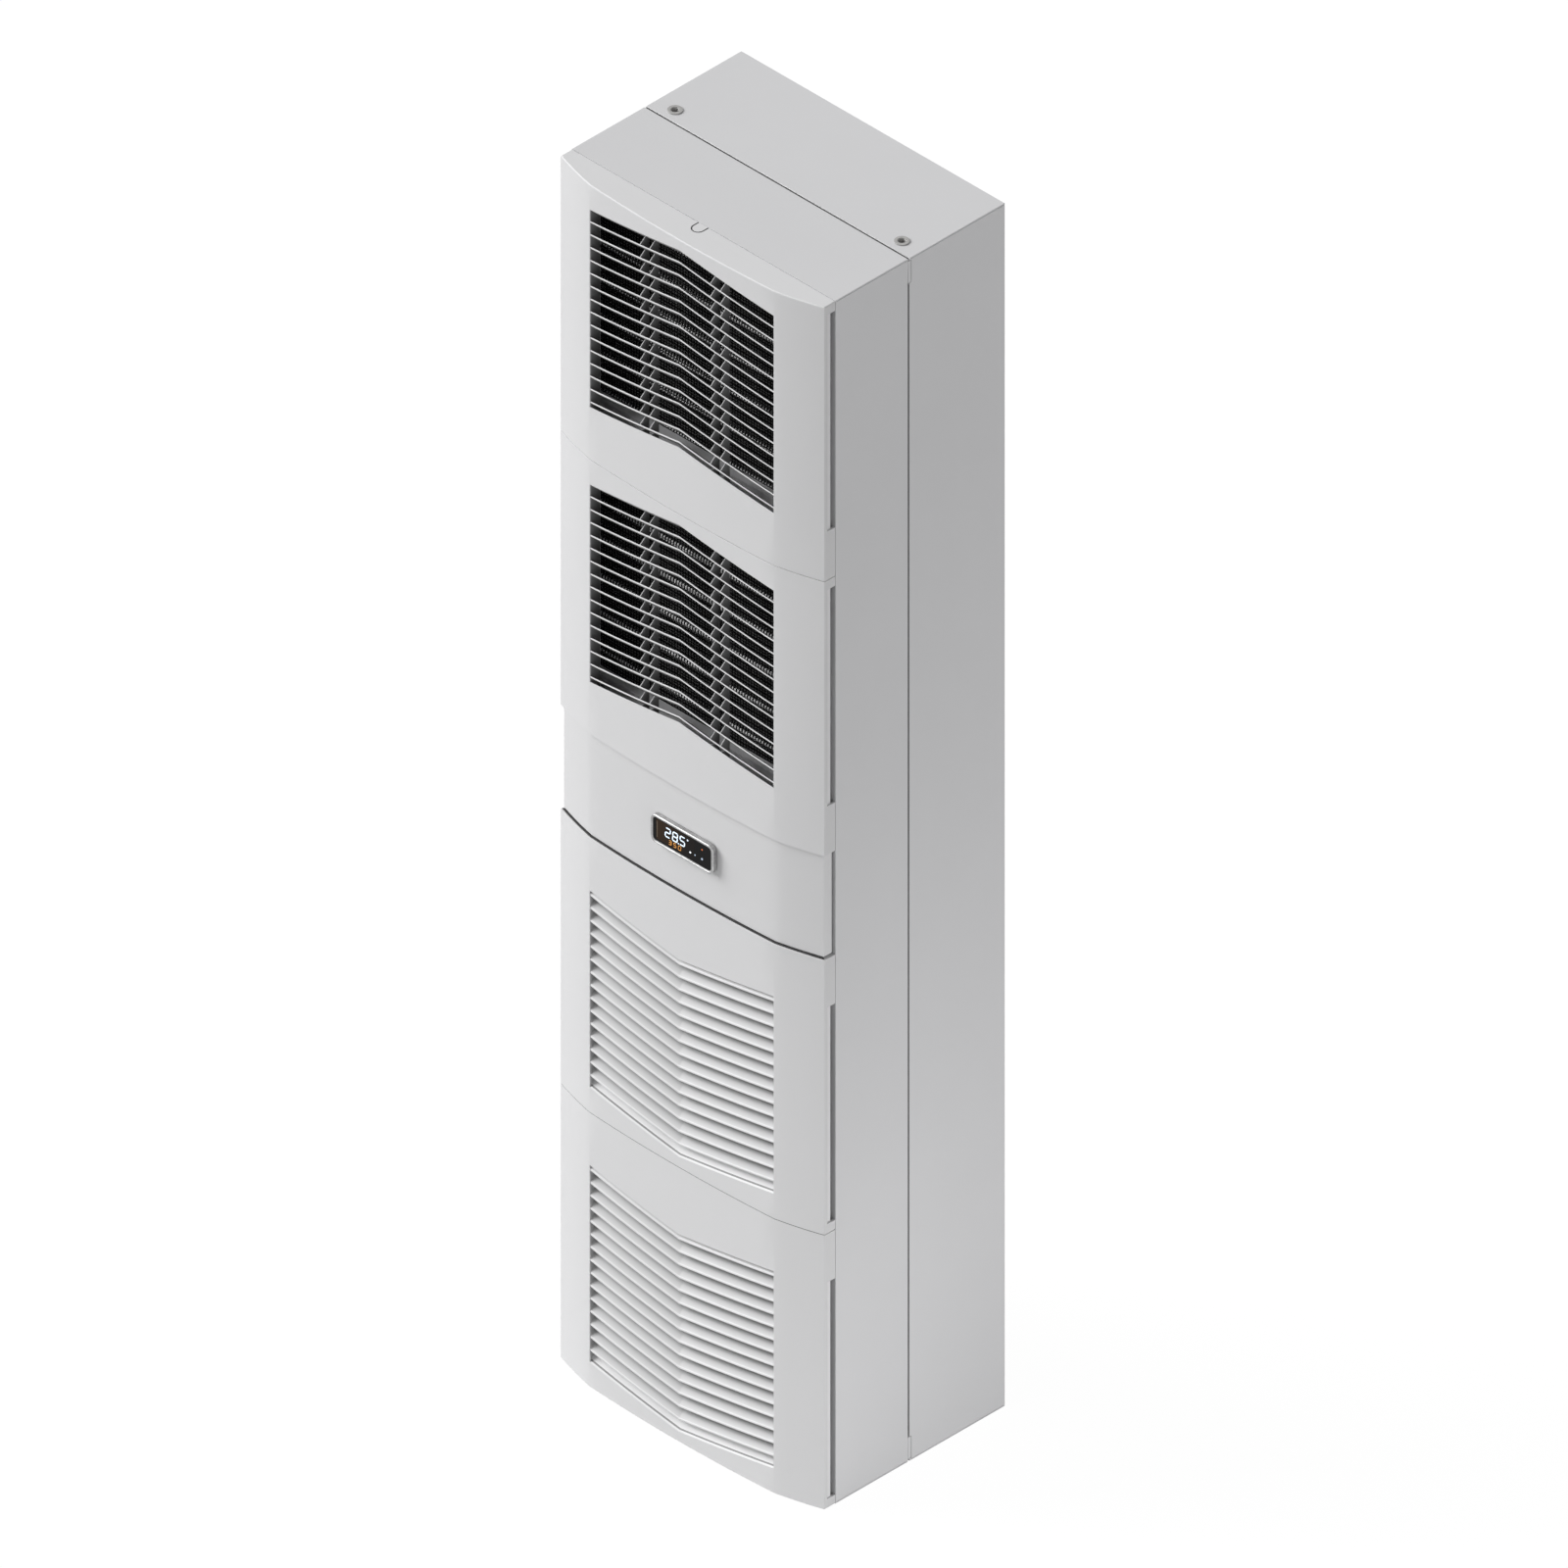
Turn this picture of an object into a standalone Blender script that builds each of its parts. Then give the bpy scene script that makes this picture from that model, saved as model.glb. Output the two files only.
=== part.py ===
# Wall-mounted enclosure cooling unit: a slim refrigeration cabinet with four louvre covers.
# Metres, +Z up, the louvred front faces -Y. Origin on the floor under the middle of the box.

import math

import bmesh
import bpy
from mathutils import Vector

mm = 0.001

# Cabinet
width = 400 * mm
module_height = 361 * mm
band_height = 136 * mm
hood_depth = 110 * mm
joint_gap = 2 * mm
rear_depth = 145 * mm
sheet = 1.5 * mm
fit = 0.3 * mm
overrun = 2 * mm
weld = 0.001 * mm
height = module_height * 4 + band_height
half_width = width / 2
band_bottom = module_height * 2
spigot_lap = 17 * mm
tab_height = 28 * mm
tab_reach = 4.5 * mm
tab_play = 0.6 * mm
tab_skin = 0.1 * mm

# Hood windows, measured from the module edges of an upright cover
window_margin_far = 54 * mm
window_margin_near = 12 * mm
hood_window_side = 32 * mm
window_flange = 10 * mm

# Louvre cover
cover_depth = 38 * mm
crease_depth = 33.5 * mm
side_depth = 17 * mm
crease_margin = 60 * mm
crease_x = half_width - crease_margin
chamfer_bulge = 1.75 * mm
cover_wall = 3 * mm
seam_gap = 0.8 * mm
louvre_side_gap = 0.5 * mm
louvre_half = crease_x - louvre_side_gap
louvre_rise = 19 * mm
louvre_drop = 33 * mm
louvre_foot = 69 * mm
louvre_height = module_height - louvre_drop - louvre_foot
collar_wall = 2 * mm
collar_lip = 0.5 * mm
blade_pitch = 16.9 * mm
first_blade = 15.7 * mm
blade_count = int((louvre_height - first_blade) / blade_pitch) + 1
blade_thickness = 2.2 * mm
blade_depth = 15 * mm
blade_slope = math.radians(45)
blade_inset = 0.4 * mm
rib_places = (46 * mm, 61 * mm)
rib_thickness = 1.2 * mm
rib_bite = 10 * mm
rib_inset = 0.8 * mm
side_slot_top = 12.5 * mm
side_slot_bottom = 64 * mm
side_slot_front = 12.7 * mm
side_flange_back = 5.75 * mm
side_flange_step = 2.3 * mm
notch_width = 16.4 * mm
notch_gap = 1.6 * mm
tongue_thickness = 2.4 * mm
prong_margin = 17 * mm
prong_x = half_width - prong_margin
prong_thickness = 3 * mm
prong_height = 8 * mm
prong_reach = 10 * mm
prong_end_margin = 70.5 * mm
prong_offset = module_height / 2 - prong_end_margin
prong_play = 0.6 * mm

# Display band
panel_set_back = 3 * mm
panel_side_gap = 3 * mm
panel_ledge_gap = 2 * mm
panel_boss_radius = 5 * mm
panel_boss_margin = 50 * mm
panel_boss_x = half_width - panel_boss_margin
panel_boss_end_margin = 23 * mm
panel_boss_z = band_height / 2 - panel_boss_end_margin
bezel_x = 7.5 * mm
bezel_rise = 69 * mm
bezel_z = band_bottom + bezel_rise
bezel_width = 95 * mm
bezel_height = 37 * mm
bezel_corner = 8 * mm
bezel_border = 3.4 * mm
bezel_stand = 6.4 * mm
bezel_neck = 2.8 * mm
bezel_neck_wall = 3.6 * mm
bezel_neck_length = 7 * mm
glass_recess = 1.4 * mm
ledge_depth = 1 * mm
module_board_width = 110 * mm
module_board_height = 46 * mm
module_board_depth = 6 * mm

# Rear wall
seal_inset = 10 * mm
seal_band = 12 * mm
seal_thickness = 3.2 * mm
intake_drop = 210 * mm
intake_z = height - intake_drop
intake_radius = 85 * mm
outlet_bottom = 70 * mm
outlet_height = 200 * mm
outlet_margin = 50 * mm
outlet_width = width - outlet_margin * 2
grille_lap = 9 * mm
grille_thickness = 2 * mm
outlet_slots = 9
slat_width = 7 * mm
guard_hub = 24 * mm
guard_bar = 5 * mm
guard_sectors = 6
connector_margin = 90 * mm
connector_drop = 102 * mm
connector_x = half_width - connector_margin
connector_z = band_bottom - connector_drop
connector_width = 62 * mm
connector_height = 22 * mm
connector_depth = 18 * mm
connector_lap = 4 * mm
connector_ways = 5

# Threaded inserts
insert_margin = 28 * mm
insert_x = half_width - insert_margin
insert_y = 128.5 * mm
insert_flange_radius = 8.5 * mm
insert_flange = 1 * mm
insert_radius = 6 * mm
insert_bore = 4.7 * mm
insert_length = 16 * mm
nut_margin = 35 * mm
nut_x = half_width - nut_margin
nut_end_margin = 55 * mm
nut_flange_radius = 7.5 * mm
nut_bore = 4 * mm
nut_radius = 5.5 * mm
nut_length = 11 * mm

# Partition and what passes through it
partition_inset = 2.5 * mm
grommet_radius = 11 * mm
grommet_lip = 2 * mm
grommet_groove = 1.6 * mm

# Condenser
coil_margin = 30 * mm
coil_half = half_width - coil_margin
coil_front = 12 * mm
coil_depth = 45 * mm
coil_below = 20 * mm
coil_above = 4 * mm
coil_tubes = 14
coil_fins = 28
fin_share = 0.5
fin_groove = 6 * mm
plate_flange = 8.5 * mm
tube_radius = 4.8 * mm
bend_reach = 15 * mm
bend_radius = 8 * mm

# Condenser fan
tray_side_gap = 2.5 * mm
tray_half = coil_half + tray_side_gap
tray_rim = 6 * mm
tray_depth = 20 * mm
tray_half_height = (module_height - window_margin_far - window_margin_near) / 2 + tray_rim
fan_margin = 26.5 * mm
fan_hole_radius = min(tray_half, tray_half_height) - fan_margin
shroud_wall = 2 * mm
shroud_radius = fan_hole_radius - shroud_wall
shroud_flange = 11 * mm
shroud_length = 27 * mm
tip_gap = 3.5 * mm
fan_radius = shroud_radius - tip_gap
fan_blades = 7
hub_radius = 46 * mm
hub_wall = 4 * mm
hub_length = 34 * mm
motor_gap = 1 * mm
motor_length = 29 * mm
motor_shaft_radius = 4 * mm
blade_sheet = 2 * mm
root_chord = 44 * mm
tip_chord = 74 * mm
root_pitch = math.radians(38)
tip_pitch = math.radians(25)
bracket_arm = 14 * mm
bracket_hub = 30 * mm
bracket_overlap = 9 * mm

# Evaporator
slab_depth = 40 * mm
slab_lean = 86.2 * mm
slab_front = 122 * mm
slab_drop = 10 * mm
slab_z = band_bottom - slab_drop
slab_tube_pitch = 46 * mm
slab_bend_reach = 14 * mm

# Evaporator fan
wheel_radius = 110 * mm
wheel_width = 68 * mm
wheel_disc = 2.5 * mm
slab_fan_gap = 96 * mm
slab_rise = intake_z - wheel_radius - slab_fan_gap - slab_z
slab_tilt = math.atan(slab_lean / slab_rise)
slab_length = slab_rise / math.cos(slab_tilt)
slab_tubes = 2 * round(slab_length / slab_tube_pitch / 2)
wheel_eye = 72 * mm
wheel_blades = 7
wheel_blade_inner = 75 * mm
wheel_blade_lean = math.radians(38)
wheel_boss_radius = 14 * mm
wheel_boss_length = 16 * mm
wheel_motor_radius = 45 * mm
wheel_motor_length = 30 * mm
wheel_motor_flange = 55 * mm
wheel_motor_plate = 2.5 * mm
wheel_shaft_radius = 5 * mm
nozzle_flange = 98 * mm
nozzle_wall = 2 * mm
nozzle_play = 2 * mm
nozzle_lap = 5 * mm

# Condensate
tray_margin = 22 * mm
tray_width = width - tray_margin * 2
tray_drop = 82 * mm
tray_floor_z = band_bottom - tray_drop
tray_height = 32 * mm
tray_run = 80 * mm
drain_margin = 50 * mm
drain_x = half_width - drain_margin
drain_y = 150 * mm
drain_spigot_radius = 6 * mm
drain_spigot_length = 16 * mm
hose_radius = 8 * mm
hose_lap = 10 * mm
hose_floor_gap = 0.6 * mm

# Compressor group
comp_y = 55 * mm
comp_radius = 50 * mm
comp_base_z = 24 * mm
comp_top_z = 285 * mm
comp_shoulder = 30 * mm
comp_round = 4 * mm
comp_flat_radius = 33 * mm
comp_foot_x = 62 * mm
comp_foot_y = 28 * mm
comp_foot_margin = 11 * mm
comp_foot_sheet = 3 * mm
mount_radius = 9 * mm
bolt_radius = 3 * mm
bolt_head_radius = 6 * mm
bolt_head = 4 * mm
base_plate_margin = 50 * mm
base_plate_half = half_width - base_plate_margin
base_plate_front = 5 * mm
base_plate_back = 92 * mm
base_plate_thickness = 2 * mm
accumulator_radius = 22 * mm
accumulator_bottom = 70 * mm
accumulator_top = 230 * mm
accumulator_shoulder = 12 * mm
elbow_z = 48 * mm
cap_radius = 15 * mm
cap_height = 15 * mm
cap_x = 14 * mm
discharge_x = 25 * mm
discharge_y = 58 * mm
discharge_rise = 55 * mm
discharge_z = comp_top_z + discharge_rise

# Refrigerant lines
pipe_radius = 4 * mm
suction_radius = 6 * mm
pipe_bend = 12 * mm
lane_margin = 14 * mm
lane_x = half_width - lane_margin
feed_margin = 16 * mm
feed_x = half_width - feed_margin
suction_y = 80 * mm
suction_rise = 27 * mm
suction_low_z = comp_top_z + suction_rise
suction_rear_y = 240 * mm
line_clearance = 6 * mm
drier_margin = 50 * mm
drier_x = half_width - drier_margin
drier_y = 75 * mm
drier_drop = 17 * mm
drier_length = 120 * mm
drier_bottom = band_bottom - drier_drop
drier_top = drier_bottom + drier_length
drier_radius = 16 * mm
drier_shoulder = 10 * mm
liquid_margin = 20 * mm
liquid_x = half_width - liquid_margin
liquid_drop = 20 * mm
valve_y = 131 * mm
valve_rise = 14 * mm
valve_height = 22 * mm
valve_half = 7 * mm

# Electronics
box_margin = 82 * mm
box_half = half_width - box_margin
box_end_margin = 6 * mm
box_bottom = band_bottom + box_end_margin
box_top = band_bottom + band_height - box_end_margin
box_depth = 44 * mm
lid_thickness = 1.5 * mm
board_thickness = 1.6 * mm
board_margin = 12 * mm
board_stand = 8 * mm
chip_height = 12 * mm
board_chips = 4
terminal_height = 16 * mm
terminal_depth = 14 * mm
terminal_ways = 8
cable_radius = 2.5 * mm
cable_hole_radius = 6 * mm

# How finely round shapes are drawn
fine = 24
medium = 16
coarse = 10
plain = 8
hexagon = 6

# Levels that follow from the sizes above
inner_half = half_width - sheet
spigot_half = inner_half - fit
front_reach = cover_depth - panel_set_back + bezel_stand
back_reach = hood_depth + joint_gap + rear_depth + fit + seal_thickness
seam_y = (front_reach - back_reach) / 2
hood_back_y = seam_y + hood_depth
rear_front_y = hood_back_y + joint_gap
rear_back_y = rear_front_y + rear_depth
rear_inner_y = rear_back_y - sheet
front_seat_y = seam_y + sheet + fit
partition_y = rear_front_y + sheet + partition_inset
box_seat_y = partition_y - fit
rear_seat_y = partition_y + sheet + fit
module_bottoms = {
    1: module_height * 3 + band_height,
    2: module_height * 2 + band_height,
    3: module_height,
    4: 0,
}
flipped_covers = (3, 4)
cover_height = module_height - seam_gap
coil_bottom = module_bottoms[2] + window_margin_far - coil_below
coil_top = height - window_margin_near + coil_above
liquid_z = coil_bottom - liquid_drop
coil_pitch = (coil_top - coil_bottom) / coil_tubes
coil_y = seam_y + coil_front
coil_mid_y = coil_y + coil_depth / 2
coil_plate_x = coil_half + fit
coil_plate_out = coil_plate_x + sheet
feed_cross_z = tray_floor_z + tray_height + grommet_radius + line_clearance
suction_cross_z = tray_floor_z - grommet_radius - line_clearance
valve_bottom = feed_cross_z + valve_rise


def material(name, colour, roughness, metallic):
    made = bpy.data.materials.new(name)
    made.use_nodes = True
    shader = made.node_tree.nodes["Principled BSDF"]
    shader.inputs["Base Color"].default_value = (*colour, 1)
    shader.inputs["Roughness"].default_value = roughness
    shader.inputs["Metallic"].default_value = metallic
    made.diffuse_color = (*colour, 1)
    return made


def add_object(name, bm, finish, origin=Vector((0, 0, 0))):
    # The mesh is given in the cabinet's own frame; origin is where the object turns or slides.
    bmesh.ops.translate(bm, verts=bm.verts, vec=-origin)
    mesh = bpy.data.meshes.new(name)
    bm.to_mesh(mesh)
    bm.free()
    mesh.shade_smooth()
    mesh.set_sharp_from_angle(angle=math.radians(30))
    mesh.materials.append(finish)
    made = bpy.data.objects.new(name, mesh)
    made.location = origin
    bpy.context.collection.objects.link(made)
    return made


def carve(bm, cutter, operation="DIFFERENCE"):
    # One exact Boolean between two sets of closed bodies.
    pieces = []
    for shape in (bm, cutter):
        mesh = bpy.data.meshes.new("working")
        shape.to_mesh(mesh)
        shape.free()
        pieces.append(bpy.data.objects.new("working", mesh))
        bpy.context.collection.objects.link(pieces[-1])
    body, tool = pieces
    tool.hide_render = True
    tool.display_type = "WIRE"
    change = body.modifiers.new("shape", "BOOLEAN")
    change.operation = operation
    change.solver = "EXACT"
    change.object = tool
    graph = bpy.context.evaluated_depsgraph_get()
    result = bmesh.new()
    result.from_object(body, graph)
    for piece in pieces:
        bpy.data.objects.remove(piece)
    return result


def loft(bm, rings, hollow=False):
    # Rings of points joined into one closed body; a hollow one ends on its own first ring.
    loops = [[bm.verts.new(point) for point in ring] for ring in rings]
    pairs = list(zip(loops, loops[1:]))
    if hollow:
        pairs.append((loops[-1], loops[0]))
    faces = []
    for near, far in pairs:
        for index in range(len(near)):
            after = (index + 1) % len(near)
            faces.append(bm.faces.new((near[index], near[after], far[after], far[index])))
    if not hollow:
        faces.append(bm.faces.new(loops[0]))
        faces.append(bm.faces.new(loops[-1]))
    bmesh.ops.recalc_face_normals(bm, faces=faces)


def lifted(outline, axis, level):
    # A flat outline set at a level along an axis: X takes (y, z), Y takes (x, z), Z takes (x, y).
    if axis == "X":
        return [Vector((level, first, second)) for first, second in outline]
    if axis == "Y":
        return [Vector((first, level, second)) for first, second in outline]
    return [Vector((first, second, level)) for first, second in outline]


def prism(bm, outline, axis, start, end):
    loft(bm, [lifted(outline, axis, start), lifted(outline, axis, end)])


def frame_prism(bm, outer, inner, axis, start, end):
    rings = [(outer, start), (outer, end), (inner, end), (inner, start)]
    loft(bm, [lifted(outline, axis, level) for outline, level in rings], hollow=True)


def box(bm, x_span, y_span, z_span):
    prism(bm, rectangle(x_span, z_span), "Y", *y_span)


def rectangle(first_span, second_span):
    (left, right), (low, high) = first_span, second_span
    return [(left, low), (right, low), (right, high), (left, high)]


def about(centre, half):
    return (centre - half, centre + half)


def circle(centre, radius, sides):
    return [
        (
            centre[0] + radius * math.cos(math.tau * index / sides),
            centre[1] + radius * math.sin(math.tau * index / sides),
        )
        for index in range(sides)
    ]


def rounded(centre, size, corner, steps=3):
    # A rectangle with round corners, as an outline.
    outline = []
    for quarter, (across, up) in enumerate(((1, 1), (-1, 1), (-1, -1), (1, -1))):
        middle_x = centre[0] + across * (size[0] / 2 - corner)
        middle_z = centre[1] + up * (size[1] / 2 - corner)
        for step in range(steps + 1):
            angle = math.pi / 2 * (quarter + step / steps)
            outline.append((middle_x + corner * math.cos(angle), middle_z + corner * math.sin(angle)))
    return outline


def disc(bm, axis, centre, radius, start, end, sides=medium):
    prism(bm, circle(centre, radius, sides), axis, start, end)


def collar(bm, axis, centre, outer, inner, start, end, sides=medium):
    frame_prism(bm, circle(centre, outer, sides), circle(centre, inner, sides), axis, start, end)


def turned(bm, axis, centre, profile, sides=medium, hollow=False):
    # The profile is (radius, level) pairs along the axis.
    loft(bm, [lifted(circle(centre, radius, sides), axis, level) for radius, level in profile], hollow)


def box_shell(bm, rings, axis):
    # A box pressed from sheet: rings of (spans, level) from the outer bottom round the rim and back.
    loft(bm, [lifted(rectangle(*spans), axis, level) for spans, level in rings])


def bent(points, radius, steps=1):
    # A route with its corners bent round, as a tube bender leaves them.
    points = [Vector(point) for point in points]
    route = [points[0]]
    for before, corner, after in zip(points, points[1:], points[2:]):
        back = (before - corner).normalized()
        ahead = (after - corner).normalized()
        reach = min(radius, (before - corner).length / 2, (after - corner).length / 2)
        start = corner + back * reach
        end = corner + ahead * reach
        for step in range(steps + 1):
            share = step / steps
            route.append((start * (1 - share) + corner * share) * (1 - share)
                         + (corner * (1 - share) + end * share) * share)
    route.append(points[-1])
    return route


def tubes(routes, radius, resolution=1):
    # Each route becomes one round closed tube; the resolution gives 6, 8 or 10 sides.
    curve = bpy.data.curves.new("route", "CURVE")
    curve.dimensions = "3D"
    curve.bevel_depth = radius
    curve.bevel_resolution = resolution
    curve.render_resolution_u = 0
    curve.use_fill_caps = True
    for route in routes:
        spline = curve.splines.new("POLY")
        spline.points.add(len(route) - 1)
        for point, place in zip(spline.points, route):
            point.co = (*place, 1)
    drawn = bpy.data.objects.new("route", curve)
    bpy.context.collection.objects.link(drawn)
    graph = bpy.context.evaluated_depsgraph_get()
    bm = bmesh.new()
    bm.from_mesh(drawn.evaluated_get(graph).to_mesh())
    bpy.data.objects.remove(drawn)
    bmesh.ops.remove_doubles(bm, verts=bm.verts, dist=weld)
    bmesh.ops.recalc_face_normals(bm, faces=bm.faces)
    return bm


# Form of the louvre covers and the display band

def half_profile():
    # Plan of the front from the left side to the middle, as (x, depth in front of the seam).
    side = Vector((-half_width, -side_depth))
    crease = Vector((-crease_x, -crease_depth))
    along = crease - side
    outward = Vector((along.y, -along.x)).normalized()
    middle = (side + crease) / 2 + outward * chamfer_bulge
    return [side, middle, crease]


def front_profile(inset=0):
    # The whole plan line, left to right, moved inwards by the inset.
    left = half_profile()
    line = [Vector((-half_width, 0))] + left + [Vector((0, -cover_depth))]
    line += [Vector((-point.x, point.y)) for point in reversed(left)] + [Vector((half_width, 0))]
    normals = []
    for start, end in zip(line, line[1:]):
        along = (end - start).normalized()
        normals.append(Vector((-along.y, along.x)))
    moved = [line[0] + normals[0] * inset]
    for point, before, after in zip(line[1:-1], normals, normals[1:]):
        moved.append(point + (before + after) * inset / (1 + before.dot(after)))
    moved.append(line[-1] + normals[-1] * inset)
    return moved


def front_y(x):
    # Where the outer face of a cover stands at x.
    line = front_profile()[1:-1]
    for start, end in zip(line, line[1:]):
        if start.x <= x <= end.x:
            share = (x - start.x) / (end.x - start.x)
            return seam_y + start.y * (1 - share) + end.y * share
    return seam_y + line[-1].y


def profile_solid(bm, inset, back, z_span):
    # Everything between the plan line and a plane behind it.
    line = front_profile(inset)
    outline = [(point.x, seam_y + point.y) for point in line]
    outline[0] = (line[0].x, back)
    outline[-1] = (line[-1].x, back)
    prism(bm, outline, "Z", *z_span)


def louvre_top(x):
    # Upper edge of the louvre window, measured from the middle of an upright cover.
    side_level = module_height / 2 - louvre_drop
    return side_level + louvre_rise * (1 - abs(x) / louvre_half)


def slanted_strip(bm, half, rise, drop, front, back):
    # A strip across the cover that follows its front in plan and the slope of the blades in
    # section: rise and drop are its edges below the louvre window's upper edge, front and back
    # are measured inwards from the cover's face.
    inner = [point.x for point in front_profile()[1:-1] if abs(point.x) < half]
    sections = []
    for x in [-half] + inner + [half]:
        y = front_y(x)
        top = louvre_top(x)
        fall = math.tan(blade_slope)
        section = [
            (y + front, top - rise - front * fall),
            (y + back, top - rise - back * fall),
            (y + back, top - drop - back * fall),
            (y + front, top - drop - front * fall),
        ]
        sections.append(lifted(section, "X", x))
    loft(bm, sections)


def blade_levels():
    return [first_blade + blade_pitch * index for index in range(blade_count)]


def louvre_blades():
    bm = bmesh.new()
    upright = blade_thickness / math.cos(blade_slope)
    for level in blade_levels():
        slanted_strip(bm, louvre_half + collar_wall / 2, level - upright / 2, level + upright / 2,
                      blade_inset, blade_depth)
    return bm


def louvre_ribs():
    # Thin upright ribs whose front edge runs back and up from each blade to the one above.
    bm = bmesh.new()
    fall = math.tan(blade_slope)
    levels = [-collar_wall / 2] + blade_levels() + [louvre_height + collar_wall / 2]
    back = blade_depth + collar_lip / 2
    for place in rib_places:
        for x in (-place, place):
            y = front_y(x)
            top = louvre_top(x)
            outline = []
            for level in levels:
                outline.append((y + rib_inset, top - level - rib_inset * fall))
                outline.append((y + rib_bite, top - level - rib_bite * fall))
            outline = outline[1:-1]
            outline.append((y + back, top - levels[-1] - back * fall))
            outline.append((y + back, top - levels[0] - back * fall))
            prism(bm, outline, "X", *about(x, rib_thickness / 2))
    return bm


def notch_outline(half, reach):
    # A tongue shape that starts at the seam and ends in a half circle in front of it.
    tip = seam_y - reach + half
    outline = [(half, seam_y + overrun), (-half, seam_y + overrun)]
    for step in range(hexagon + 1):
        angle = math.pi * (1 + step / hexagon)
        outline.append((half * math.cos(angle), tip + half * math.sin(angle)))
    return outline


def cover_side_slots():
    bm = bmesh.new()
    z_span = (-module_height / 2 + side_slot_bottom, module_height / 2 - side_slot_top)
    inner = half_width - cover_wall - tab_skin
    y_span = (seam_y - side_slot_front, seam_y + overrun)
    box(bm, (inner, half_width + overrun), y_span, z_span)
    box(bm, (-half_width - overrun, -inner), y_span, z_span)
    top = cover_height / 2
    prism(bm, notch_outline(notch_width / 2, notch_width), "Z", top - cover_wall * 2, top + overrun)
    return bm


def cover_inner_parts():
    # The collar round the louvres, the recessed side flanges and the four clip prongs.
    bm = bmesh.new()
    slanted_strip(bm, louvre_half + collar_wall, -collar_wall, louvre_height + collar_wall,
                  cover_wall / 3, blade_depth + collar_lip)
    outer = half_width - side_flange_step
    z_span = (-module_height / 2 + side_slot_bottom - overrun, module_height / 2 - side_slot_top + overrun)
    y_span = (seam_y - side_depth + collar_lip, seam_y - side_flange_back)
    box(bm, (outer - cover_wall, outer), y_span, z_span)
    box(bm, (-outer, -outer + cover_wall), y_span, z_span)
    for x in (-prong_x, prong_x):
        for z in (-prong_offset, prong_offset):
            y_span = (front_y(x) + cover_wall / 2, seam_y + prong_reach)
            box(bm, about(x, prong_thickness / 2), y_span, about(z, prong_height / 2))
    return bm


def cover_form():
    # One moulding about its own middle height, as it stands in the two upper places.
    shell = bmesh.new()
    profile_solid(shell, 0, seam_y - fit, about(0, cover_height / 2))
    cavity = bmesh.new()
    profile_solid(cavity, cover_wall, seam_y + overrun, about(0, cover_height / 2 - cover_wall))
    shell = carve(shell, cavity)
    shell = carve(shell, cover_side_slots())
    shell = carve(shell, cover_inner_parts(), "UNION")
    opening = bmesh.new()
    slanted_strip(opening, louvre_half, 0, louvre_height, -cover_wall, blade_depth + overrun)
    shell = carve(shell, opening)
    shell = carve(shell, louvre_blades(), "UNION")
    return carve(shell, louvre_ribs(), "UNION")


def louvre_covers():
    finish = material("light_grey_plastic", (0.62, 0.62, 0.63), 0.45, 0)
    middle = Vector((0, seam_y, 0))
    first = add_object("louvre_cover_1", cover_form(), finish, middle)
    for number, bottom in module_bottoms.items():
        cover = first
        if number > 1:
            cover = bpy.data.objects.new(f"louvre_cover_{number}", first.data)
            bpy.context.collection.objects.link(cover)
        cover.location = (0, seam_y, bottom + module_height / 2)
        if number in flipped_covers:
            cover.rotation_euler = (0, math.pi, 0)


def release_tab(name, z_span, pivot_z):
    bm = bmesh.new()
    half = notch_width / 2 - notch_gap
    outline = notch_outline(half, notch_width - notch_gap)
    outline[0] = (half, seam_y - fit)
    outline[1] = (-half, seam_y - fit)
    prism(bm, outline, "Z", *z_span)
    finish = material(name + "_plastic", (0.6, 0.6, 0.61), 0.45, 0)
    add_object(name, bm, finish, Vector((0, seam_y - fit, pivot_z)))


def release_tabs():
    rest = (module_height - cover_height) / 2
    top = height - rest
    release_tab("release_tab_top", (top - tongue_thickness, top), top - tongue_thickness)
    release_tab("release_tab_bottom", (rest, rest + tongue_thickness), rest + tongue_thickness)


# Sheet-metal cabinet

def hood_windows():
    # Height spans of the four windows behind the covers.
    spans = []
    for number, bottom in module_bottoms.items():
        low, high = window_margin_far, window_margin_near
        if number in flipped_covers:
            low, high = high, low
        spans.append((bottom + low, bottom + module_height - high))
    return spans


def locating_tab_places():
    places = []
    for low in (sheet + fit + overrun, height - sheet - fit - overrun - tab_height):
        places.append((low, low + tab_height))
    return places


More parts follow.
